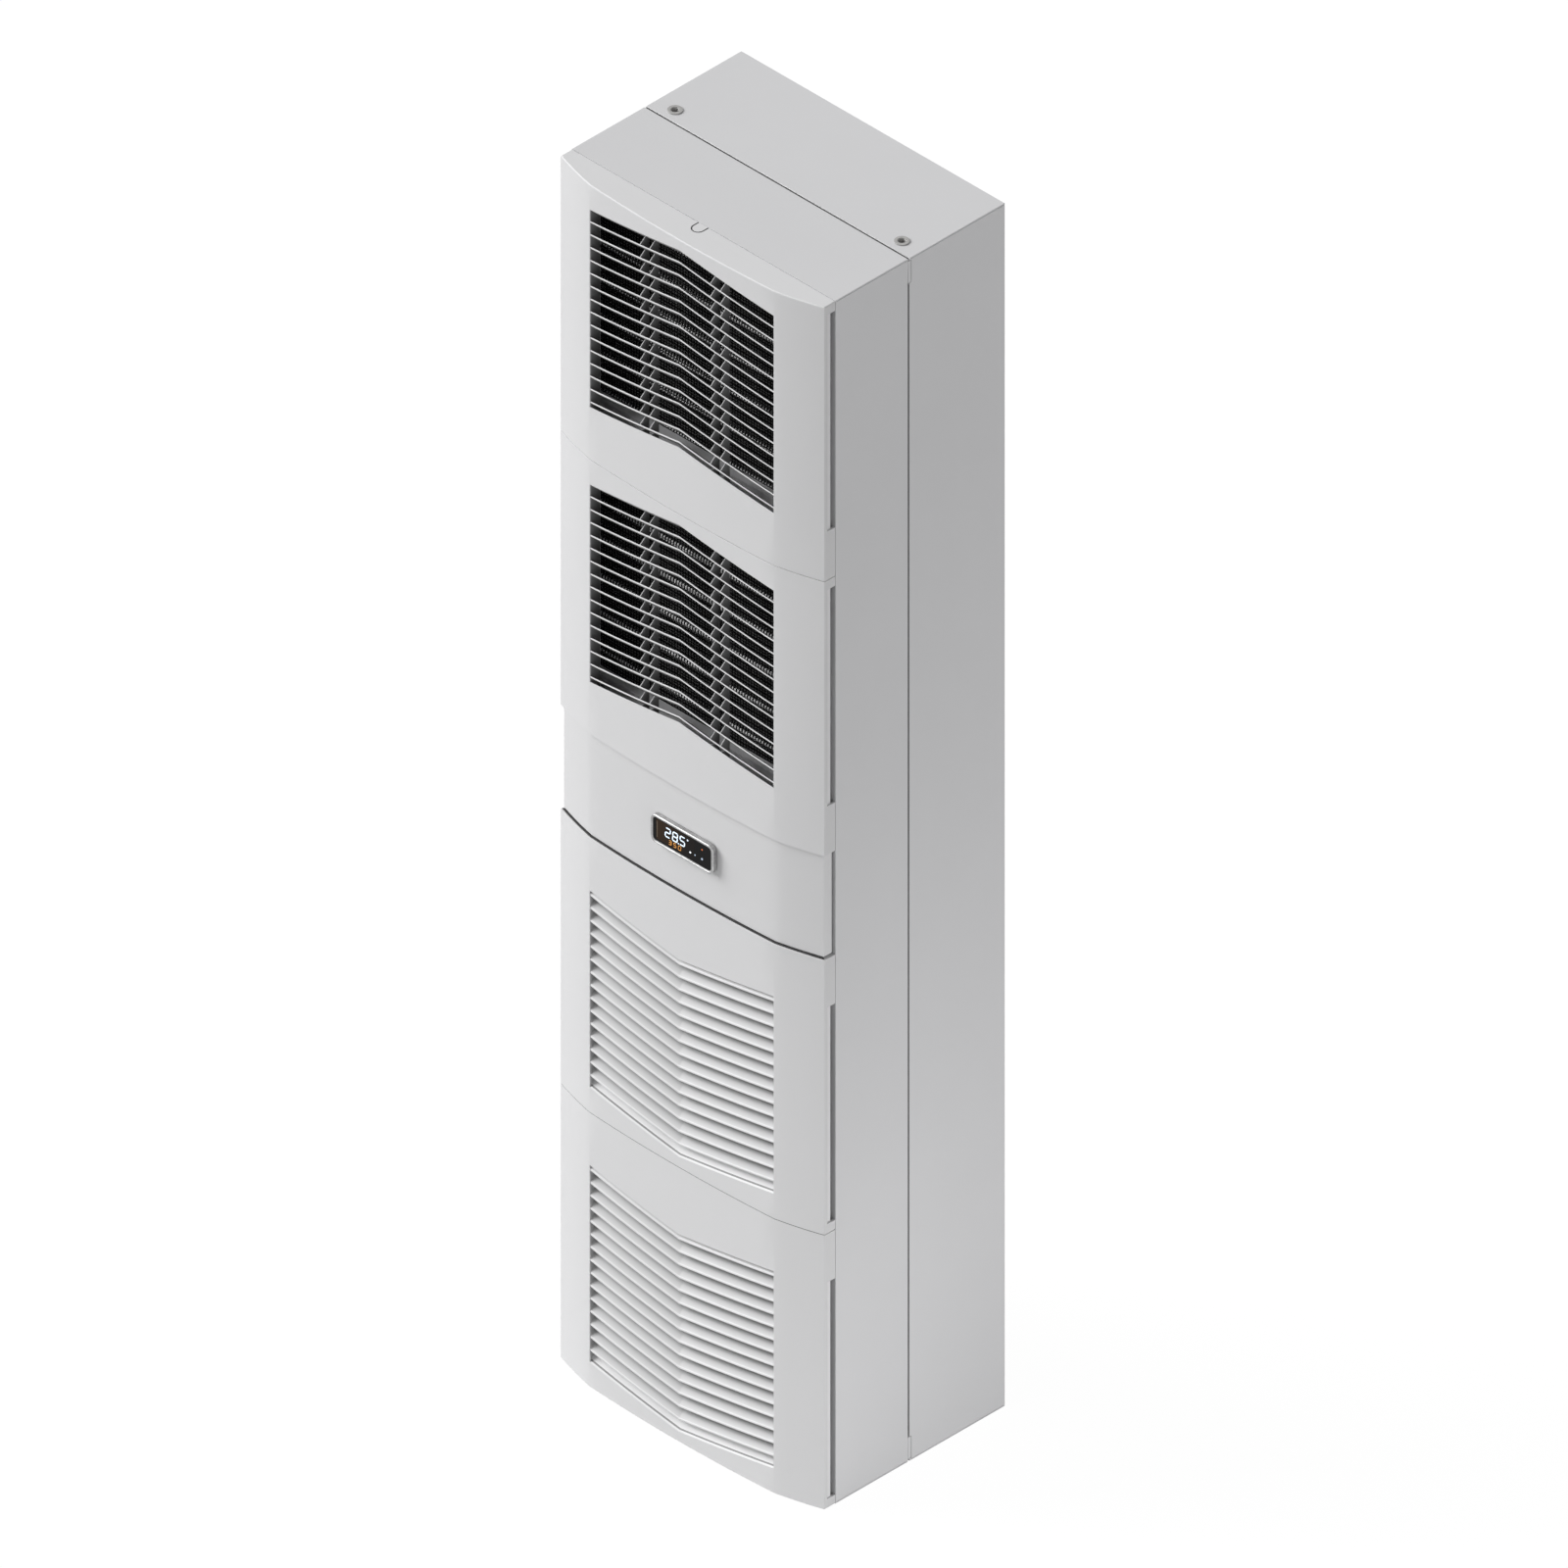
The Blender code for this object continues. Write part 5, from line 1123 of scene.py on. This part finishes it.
def strips_and_screws():
    # Black strips set in the gaps between the covers and in the cabinet's seam as painted shade,
    # and the hood's screws.
    for name, body, inset, z_span in (
        ("band_shade_strip", "cabinet", 1.5 * mm, (band_bottom - 0.3 * mm, band_bottom + 0.8 * mm)),
        ("strip_above_cover_4", "cover_4", 0.4 * mm, about(module_height, 0.36 * mm)),
        ("strip_above_cover_2", "cover_2", 0.85 * mm, about(module_bottoms[1], 0.3 * mm)),
    ):
        line = front_line(inset)[1:-1] + front_line(inset + 2.5 * mm)[-2:0:-1]
        bm = bmesh.new()
        prism(bm, [(point.x, seam_y + point.y) for point in line], "Z", *z_span)
        finish(name, bm, foam_and_shade_black, "seal_rubber", body)
    # Painted shade in the cabinet's seam, along its sides and round the tabs.
    bm = bmesh.new()
    deep, shallow, y_span = 1.75 * mm, 0.5 * mm, (0.5 * mm, 2.4 * mm)
    for z_span in ((height - deep, height - shallow), (shallow, deep)):
        box(bm, about(0, half_width - 2 * mm), y_span, z_span)
    for side in (-1, 1):
        x_span = sorted((side * (half_width - deep), side * (half_width - shallow)))
        box(bm, x_span, y_span, (33.5 * mm, height - 35 * mm))
        x_span = sorted((side * (half_width - 1.6 * mm), side * (half_width - 0.3 * mm)))
        for low, high in ((3.3 * mm, 32.3 * mm), (height - 33.6 * mm, height - 4.6 * mm)):
            box(bm, x_span, (5 * mm, 5.5 * mm), (low, high))
            for z_span in ((low, low + 0.4 * mm), (high - 0.4 * mm, high)):
                box(bm, x_span, (2.5 * mm, 4.95 * mm), z_span)
    finish("seam_shade_strips", bm, foam_and_shade_black, "seal_rubber")
    screw = [(0, -0.3), (4.2, -0.3), (4.2, -1.9), (3.4, -2.6), (1.8, -2.7), (1.6, -1.6), (0, -1.6)]
    bm = bmesh.new()
    for bottom in module_bottoms.values():
        for x in (-178 * mm, 178 * mm):
            turned(bm, "Y", (x, bottom + module_height / 2), screw, seam_y, sides=32)
    finish("hood_screws", bm, steel_turned, "zinc_insert")


# Condenser and its fan

coil_low, coil_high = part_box("condenser_core")
coil_bottom, coil_top = coil_low.z, coil_high.z
coil_front, coil_back = coil_low.y, coil_high.y
coil_mid_y = (coil_front + coil_back) / 2
coil_tubes = 14
tube_pitch = (coil_top - coil_bottom) / coil_tubes
plate_inner, plate_outer = 170.3 * mm, 171.8 * mm


def condenser():
    # Thin coated fins, with the bright tubes that show between them.
    bm = bmesh.new()
    for index in range(fin_count):
        box(bm, about(fin_start + fin_pitch * index, 0.2 * mm), (coil_front, coil_back),
            (coil_bottom, coil_top))
    finish("condenser_fins", bm, fins_black, "coil_black", nodes=("condenser_core",))
    # Strips across the coil's front that carry the painted highlight of the fins' lit front edges.
    bm = bmesh.new()
    row_pitch = 8.15 * mm
    for index in range(int((coil_top - coil_bottom) / row_pitch)):
        for share in (0.3, 0.72):
            box(bm, (-coil_half, coil_half), (coil_front + 0.2 * mm, coil_front + 0.9 * mm),
                about(coil_bottom + row_pitch * (index + share), 0.8 * mm))
    finish("condenser_fin_edge_highlights", bm, fin_edge_highlights, "coil_black")
    bm = bmesh.new()
    for index in range(coil_tubes):
        level = coil_bottom + tube_pitch * (index + 1 / 2)
        for depth, radius, stagger in ((5.2, 5.1, 15), (22.5, 4.6, 0), (39, 4.6, 15)):
            place = (coil_front + depth * mm, level + stagger * mm)
            prism(bm, circle(place, radius * mm, 20), "X", -coil_half, coil_half)
    finish("condenser_tubes", bm, coil_tube, "coil_black")


def hairpins(bm, side, places, reach):
    # Return bends that leave the coil straight and join its tubes two by two.
    out = Vector((side, 0, 0))
    for start, end in zip(places[::2], places[1::2]):
        middle, span = (start + end) / 2, (end - start) / 2
        straight = max(reach - span.length, 0)
        depth = reach - straight
        wide = span.cross(out).normalized()
        rings = []
        for step in range(-3, 22):
            angle = math.pi * min(max(step / 18, 0), 1)
            lead = straight * (1 - max(-step, step - 18, 0) / 3)
            centre = middle - span * math.cos(angle) + out * (depth * math.sin(angle) + lead)
            ahead = (span * math.sin(angle) + out * depth * math.cos(angle)).normalized()
            rings.append(ring(centre, wide, ahead.cross(wide), 4.8 * mm, 20))
        loft(bm, rings)


def coil_end(name, side, outline, axis, span, places, reach):
    # An end plate of a coil and its return bends; the right-hand bends start one tube later.
    bm = bmesh.new()
    prism(bm, outline, axis, *span)
    finished(name, bm, zinc_plain, "zinc_sheet")
    bm = bmesh.new()
    hairpins(bm, side, places if side < 0 else places[1:], reach)
    finish(name + "_hairpins", bm, copper_skin, "line_copper")


def condenser_ends():
    front = seam_y + 1.8 * mm
    for name, side in (("condenser_end_left", -1), ("condenser_end_right", 1)):
        inner, outer, flange = side * plate_inner, side * plate_outer, side * 180.3 * mm
        outline = [(inner, front), (flange, front), (flange, front + sheet),
                   (outer, front + sheet), (outer, coil_back), (inner, coil_back)]
        places = [Vector((outer, coil_mid_y, coil_bottom + tube_pitch * (index + 1 / 2)))
                  for index in range(coil_tubes)]
        coil_end(name, side, outline, "Z", (coil_bottom, coil_top), places, 15.5 * mm)


fan_centre = (0, 520.5 * mm)
fan_plate_back = seam_y + 21.5 * mm
bracket_back = seam_y + 19.7 * mm


def condenser_fan():
    softened("condenser_fan_plate", zinc_plain, "zinc_sheet", 0.4, 20)
    softened("condenser_fan_bracket", zinc_dark, "zinc_sheet", 0.25, 5)
    turned_piece("condenser_fan_shroud", black_plastic, "black_plastic", "Y", fan_centre,
                 [(125, 0), (138, 0), (138, 2), (127, 2), (127, 27), (125, 27)],
                 fan_plate_back + fit, radius=0.8, sides=120)
    start = bracket_back + fit
    bm = bmesh.new()
    turned(bm, "Y", fan_centre, [(0, 0), (41, 0), (41, 29), (4, 29), (4, 34), (0, 34)], start,
           radius=1)
    for place in circle(fan_centre, 41.2 * mm, 24):
        prism(bm, circle(place, 0.7 * mm, 8), "Y", start + 3 * mm, start + 26 * mm)
    finished("condenser_fan_motor", bm, motor_skin, "black_paint")
    impeller(start + 34 * mm)


def impeller(end):
    # A cup round the motor with seven twisted, cambered blades.
    bm = bmesh.new()
    turned(bm, "Y", fan_centre, [(42, -34), (46, -34), (46, 0), (4.3, 0), (4.3, -4), (42, -4)],
           end, radius=1.2, sides=84)
    centre = Vector((fan_centre[0], end - 17 * mm, fan_centre[1]))
    ahead = Vector((0, 1, 0))
    for index in range(7):
        turn = math.tau * index / 7
        arm = Vector((math.cos(turn), 0, math.sin(turn)))
        across = Vector((-math.sin(turn), 0, math.cos(turn)))
        rings = []
        for step in range(11):
            share = step / 10
            radius = (44 * (1 - share) + 115.6 * share) * mm
            chord = (44 * (1 - share) + 72 * share) * mm
            pitch = math.radians(38 * (1 - share) + 25 * share)
            lie = across * math.cos(pitch) + ahead * math.sin(pitch)
            thick = ahead * math.cos(pitch) - across * math.sin(pitch)
            section = []
            for side in (1, -1):
                for point in range(9):
                    along = (-1 + point / 4) * side
                    camber = (1 - along * along) * 1.1 * mm
                    depth = 0.95 * mm * math.sqrt(max(1 - along ** 4, 0.06)) * side
                    section.append(centre + arm * radius + lie * chord / 2 * along
                                   + thick * (camber + depth - 0.5 * mm))
            rings.append(section)
        loft(bm, rings)
    finished("condenser_fan_impeller", bm, black_plastic, "black_plastic", "condenser_fan",
             crease=40)


# Rear side

intake = (0, 1370 * mm)
rear_face = 147.45 * mm
rear_inner = 145.95 * mm
insert_y = seam_y + 128.5 * mm


def rear_fittings():
    start = rear_face + fit
    bm = bmesh.new()
    for index in range(6):
        arm = box(bm, (22 * mm, 86 * mm), (start + 0.1 * mm, start + 1.9 * mm),
                  about(0, 2.5 * mm))
        turn = Matrix.Rotation(-math.tau * index / 6, 4, "Y")
        lift = Matrix.Translation((0, 0, intake[1]))
        bmesh.ops.transform(bm, matrix=lift @ turn, verts=arm)
    for inner, outer in ((84.6, 94), (52, 57), (19, 24)):
        turned(bm, "Y", intake, [(inner, 0), (outer, 0), (outer, 2), (inner, 2)], start,
               radius=0.7, sides=96)
    turned(bm, "Y", intake, [(0, 0), (20, 0), (20, 2), (0, 2)], start, radius=0.3, sides=48)
    finished("rear_intake_guard", bm, black_plastic, "black_plastic")
    softened("rear_outlet_grille", black_plastic, "black_plastic", 0.5, 30)
    softened("mains_connector", black_plastic, "black_plastic", 0.3, 4)
    softened("rear_seal", foam_and_shade_black, "seal_rubber", 0.8, steps=3)
    turned_piece("inlet_nozzle", zinc_plain, "zinc_sheet", "Y", intake,
                 [(68, -6), (70.5, -2.4), (76, 0), (98, 0), (98, -2), (77, -2), (72, -4), (70, -8),
                  (70, -40.9), (68, -40.9)], rear_inner - fit, radius=0.5, sides=96, steps=2)
    insert = [(4.7, 1), (8.5, 1), (8.5, 0), (6, 0), (6, -16), (4.7, -16)]
    thread = [(4.72, 0.45), (4.35, 0.1), (4.35, -0.1), (4.72, -0.45)]
    for name, x in (("lifting_insert_left", -172 * mm), ("lifting_insert_right", 172 * mm)):
        top = height + fit
        bm = bmesh.new()
        turned(bm, "Z", (x, insert_y), insert, top, radius=0.25, sides=64)
        for index in range(9):
            turned(bm, "Z", (x, insert_y), thread, top - (0.5 + index * 1.5) * mm, radius=0.05,
                   sides=48, steps=1)
        finished(name, bm, steel_turned, "zinc_insert")


def evaporator_fan():
    wheel_y = 41.75 * mm
    front = wheel_y + 68 * mm
    bm = bmesh.new()
    turned(bm, "Y", intake, [(5.3, 0), (110, 0), (110, 2.5), (18, 2.5), (14, 6), (14, 16),
                             (5.3, 16)], wheel_y, radius=0.8, sides=96)
    turned(bm, "Y", intake, [(72, 0), (72, -4.5), (76, -5.2), (110, -4.4), (110, -2.2),
                             (78, -2.6), (75, -1.8), (74.5, 0)], front, radius=0.5, sides=96,
           steps=2)
    for index in range(7):
        turn = math.tau * index / 7
        faces = []
        for thickness in (0, 2 * mm):
            face = []
            for step in range(11):
                share = step / 10
                radius = (75 * (1 - share) + 107.5 * share) * mm
                angle = turn - math.radians(38) * share * (2 - share) / 2 + thickness / radius
                face.append((radius * math.cos(angle), intake[1] + radius * math.sin(angle)))
            faces.append(face)
        prism(bm, faces[0] + faces[1][::-1], "Y", wheel_y + 1.5 * mm, front - 3.4 * mm)
    finished("evaporator_fan_impeller", bm, wheel_plastic, "wheel_plastic", "evaporator_fan")
    turned_piece("evaporator_fan_motor", motor_skin, "black_paint", "Y", intake,
                 [(0, 0), (55, 0), (55, 2.5), (45, 2.5), (45, 32.5), (5, 32.5), (5, 49.5),
                  (0, 49.5)], 8.25 * mm, radius=0.8)


# Compressor group and lines

comp_y = seam_y + 55 * mm
accumulator_x = -72.6


def compressor_group():
    bm = bmesh.new()
    prism(bm, rounded((0, comp_y), (146 * mm, 78 * mm), 9 * mm, 6), "Z", 24 * mm, 27 * mm)
    turned(bm, "Z", (0, comp_y), [(0, 20), (33, 20), (46, 28), (50, 44), (50, 150), (50.6, 152),
                                  (50.6, 158), (50, 160), (50, 255), (46, 273), (33, 285),
                                  (0, 285)], radius=6, sides=96, steps=4)
    finished("compressor", bm, enamel_black, "black_paint")
    number = 0
    for x in (-62 * mm, 62 * mm):
        for y in about(comp_y, 28 * mm):
            number += 1
            turned_piece(f"rubber_mount_{number}", rubber_black, "mount_rubber", "Z", (x, y),
                         [(3.3, 4.1), (9, 4.1), (9, 9), (7.4, 11.5), (7.4, 16), (9, 18.5),
                          (9, 23.7), (3.3, 23.7)], radius=1.2, sides=40)
    softened("compressor_tray", zinc_plain, "zinc_sheet", 0.3, 50)
    turned_piece("accumulator", enamel_black, "black_paint", "Z", (accumulator_x * mm, comp_y),
                 [(0, 70), (11, 70), (20, 76), (22, 84), (22, 216), (20, 224), (11, 230),
                  (0, 230)], radius=4, sides=64, steps=4)
    turned_piece("terminal_cover", black_plastic, "black_plastic", "Z", (-14 * mm, comp_y),
                 [(0, 285.3), (15, 285.3), (15, 296.5), (11, 300.3), (0, 300.3)], radius=1.5,
                 sides=48)
    turned_piece("filter_drier", drier_skin, "line_copper", "Z", (150 * mm, seam_y + 75 * mm),
                 [(0, 705), (5, 705), (7, 708), (14, 713), (16, 718), (16, 812), (14, 817),
                  (7, 822), (5, 825), (0, 825)], radius=2, sides=56)
    low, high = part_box("drain_hose")
    long = (high.z - low.z) / mm
    turned_piece("drain_hose", hose_skin, "mount_rubber", "Z", (150 * mm, seam_y + 150 * mm),
                 [(6.3, 0), (8, 0), (8, long), (6.3, long)], low.z, radius=0.3, sides=40)


slab_lean, slab_rise = 86.2, 452
slab_length = math.hypot(slab_lean, slab_rise)
slab_tubes = 10


def slab_point(along, through):
    # A point of the leaning evaporator slab, measured in millimetres from its lower corner.
    tilt = math.atan(slab_lean / slab_rise)
    rise = Vector((0, math.sin(tilt), math.cos(tilt)))
    into = Vector((0, math.cos(tilt), -math.sin(tilt)))
    return Vector((0, seam_y + 122 * mm, 712 * mm)) + (rise * along + into * through) * mm


def lines():
    front = seam_y / mm
    top_z, low_z = ((coil_top - tube_pitch / 2) / mm, (coil_bottom + tube_pitch / 2) / mm)
    mid, comp, drier, valve = coil_mid_y / mm, front + 55, front + 75, front + 131
    end_x, lane_x, valve_x, drier_x = 172.1, 186, 184, 150
    feed_z, suction_z = 689, 623
    half_step = slab_length / slab_tubes / 2
    inlet = slab_point(half_step, 20) / mm
    outlet = slab_point(slab_length - half_step, 20) / mm
    routes = {
        "discharge_pipe": (4, [
            (25, front + 58, 285.3), (25, front + 58, 340), (lane_x, front + 58, 340),
            (lane_x, front + 58, top_z), (lane_x, mid, top_z), (end_x, mid, top_z)]),
        "liquid_pipe": (4, [
            (end_x, mid, low_z), (180, mid, low_z), (180, mid, 872), (drier_x, mid, 872),
            (drier_x, drier, 872), (drier_x, drier, 825.3)]),
        "feed_pipe": (4, [
            (drier_x, drier, 704.7), (drier_x, drier, feed_z), (valve_x, drier, feed_z),
            (valve_x, valve, feed_z), (valve_x, valve, 702.7)]),
        "injection_pipe": (4, [
            (valve_x, valve, 725.3), (valve_x, valve, inlet.z), (valve_x, inlet.y, inlet.z),
            (end_x, inlet.y, inlet.z)]),
        "suction_pipe": (6, [
            (end_x, outlet.y, outlet.z), (lane_x, outlet.y, outlet.z),
            (lane_x, front + 240, outlet.z), (lane_x, front + 240, suction_z),
            (lane_x, front + 80, suction_z), (lane_x, front + 80, 312),
            (accumulator_x, front + 80, 312), (accumulator_x, comp, 312),
            (accumulator_x, comp, 230.3)]),
        "suction_elbow": (6, [
            (accumulator_x, comp, 69.7), (accumulator_x, comp, 48), (-50.3, comp, 48)]),
    }
    for node, (radius, route) in routes.items():
        tube(node, route, radius, copper_skin, "line_copper")


def inside():
    softened("partition", zinc_plain, "zinc_sheet", 0.3, 100)
    softened("electronics_box", zinc_plain, "zinc_sheet", 0.4, 20)
    softened("electronics_lid", zinc_dark, "zinc_sheet", 0.4, 20)
    softened("controller_board", board_skin, "board", 0.15, 8)
    softened("terminal_block", terminal_plastic, "black_plastic", 0.3, 10)
    softened("display_module", board_skin, "board", 0.3, 4)
    softened("condensate_tray", tray_plastic, "tray_plastic", 0.4, 20)
    softened("expansion_valve", brass_skin, "valve_brass", 0.4, 5)
    softened("evaporator_core", fins_bare, "fin_aluminium", 0.2, 20)
    for node, x, z, bore in (("feed_grommet", 184, 689, 4.3), ("suction_grommet", 186, 623, 6.3)):
        low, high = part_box(node)
        long = (high.y - low.y) / mm
        turned_piece(node, rubber_black, "mount_rubber", "Y", (x * mm, z * mm),
                     [(bore, 0), (11, 0), (11, 1.6), (9, 1.6), (9, long - 1.6), (11, long - 1.6),
                      (11, long), (bore, long)], low.y, radius=0.5, sides=48)
    low, high = (corner.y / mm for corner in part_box("display_cable"))
    route = [(7.5, low, 791), (7.5, seam_y / mm, 791), (7.5, (low + high) / 2, 788.1),
             (7.5, high, 791)]
    tube("display_cable", route, 2.5, black_plastic, "black_plastic", 30)
    plate = [slab_point(*corner) for corner in ((0, 0), (slab_length, 0), (slab_length, 40),
                                                (0, 40))]
    outline = [(8.25 * mm, plate[0].z), (8.25 * mm, 942 * mm)]
    outline += [(corner.y, corner.z) for corner in plate[1:]]
    for name, side in (("evaporator_end_left", -1), ("evaporator_end_right", 1)):
        span = (side * plate_inner, side * plate_outer)
        places = [slab_point(slab_length * (index + 1 / 2) / slab_tubes, 20)
                  + Vector((span[1], 0, 0)) for index in range(slab_tubes)]
        coil_end(name, side, outline, "X", span, places, 14 * mm)


# Stage, light and camera


def linked(made):
    bpy.context.scene.collection.objects.link(made)
    return made


def seen_directly(graph):
    # 1 for what the camera sees, straight or in metal and glass, and 0 for what lights the object.
    path = graph.tree.nodes.new("ShaderNodeLightPath")
    straight, mirrored, through = (Value(graph, path.outputs[f"Is {kind} Ray"])
                                   for kind in ("Camera", "Glossy", "Transmission"))
    return (straight + mirrored + through).at_most(1)


def stage():
    # A white floor that the camera sees brighter than the object does.
    mesh = bpy.data.meshes.new("studio_floor")
    bm = bmesh.new()
    bmesh.ops.create_grid(bm, size=6, matrix=Matrix.Translation((0, 0, -0.3 * mm)))
    bm.to_mesh(mesh)
    bm.free()
    floor = linked(bpy.data.objects.new("studio_floor", mesh))
    graph = Graph("studio_floor")
    cloud = graph.noise(2, 2, 0.5)
    graph.put(base_color=graph.blend(cloud, tone(0.44), tone(0.46)), roughness=0.9)
    tree = graph.tree
    glow = tree.nodes.new("ShaderNodeEmission")
    glow.inputs["Color"].default_value = tone(1)
    glow.inputs["Strength"].default_value = 1.08
    mix = tree.nodes.new("ShaderNodeMixShader")
    graph.join(mix.inputs[0], seen_directly(graph) * 0.9)
    tree.links.new(graph.shader.outputs[0], mix.inputs[1])
    tree.links.new(glow.outputs[0], mix.inputs[2])
    tree.links.new(mix.outputs[0], tree.nodes["Material Output"].inputs[0])
    mesh.materials.append(graph.material)


sky_level = 0.3


def world():
    sky = bpy.data.worlds.new("studio")
    bpy.context.scene.world = sky
    sky.use_nodes = True
    graph = Graph("studio", sky.node_tree)
    back = sky.node_tree.nodes["Background"]
    graph.join(back.inputs["Color"], tone(1))
    graph.join(back.inputs["Strength"], seen_directly(graph) * (1 - sky_level) + sky_level)


def sun(name, towards, strength, spread):
    light = bpy.data.lights.new(name, "SUN")
    light.energy = strength
    light.angle = math.radians(spread)
    made = linked(bpy.data.objects.new(name, light))
    made.rotation_euler = Vector(towards).to_track_quat("Z", "Y").to_euler()


def panel_light(name, place, target, size, power):
    light = bpy.data.lights.new(name, "AREA")
    light.shape = "RECTANGLE"
    light.size, light.size_y = size
    light.energy = power
    made = linked(bpy.data.objects.new(name, light))
    made.location = place
    made.rotation_euler = (Vector(place) - Vector(target)).to_track_quat("Z", "Y").to_euler()


def camera():
    lens = bpy.data.cameras.new("view")
    lens.type = "ORTHO"
    lens.ortho_scale = 1.6816
    lens.clip_end = 30
    made = linked(bpy.data.objects.new("view", lens))
    towards = Vector((1, -1, 1)).normalized()
    target = Vector((0.06087, seam_y + 0.06087, 0.8455))
    made.location = target + towards * 6
    made.rotation_euler = towards.to_track_quat("Z", "Y").to_euler()
    bpy.context.scene.camera = made


camera()
louvre_covers()
release_tabs()
grooved_box("front_hood", coat_light, (seam_y, 0.45 * mm))
grooved_box("rear_housing", coat_rear, (2.45 * mm, rear_face))
display_panel()
display_bezel()
display()
strips_and_screws()
condenser()
condenser_ends()
condenser_fan()
rear_fittings()
evaporator_fan()
compressor_group()
lines()
inside()
stage()
world()
sun("key", (-0.718, -0.444, 0.522), 3.22, 40)
sun("side", (0.96, -0.26, 0.1), 0.6, 40)
panel_light("low_fill", (1.05, -0.15, 0.08), (0.2, 0.02, 0.08), (0.7, 0.14), 2.7)

scene = bpy.context.scene
scene.view_settings.view_transform = "Standard"
scene.view_settings.look = "None"
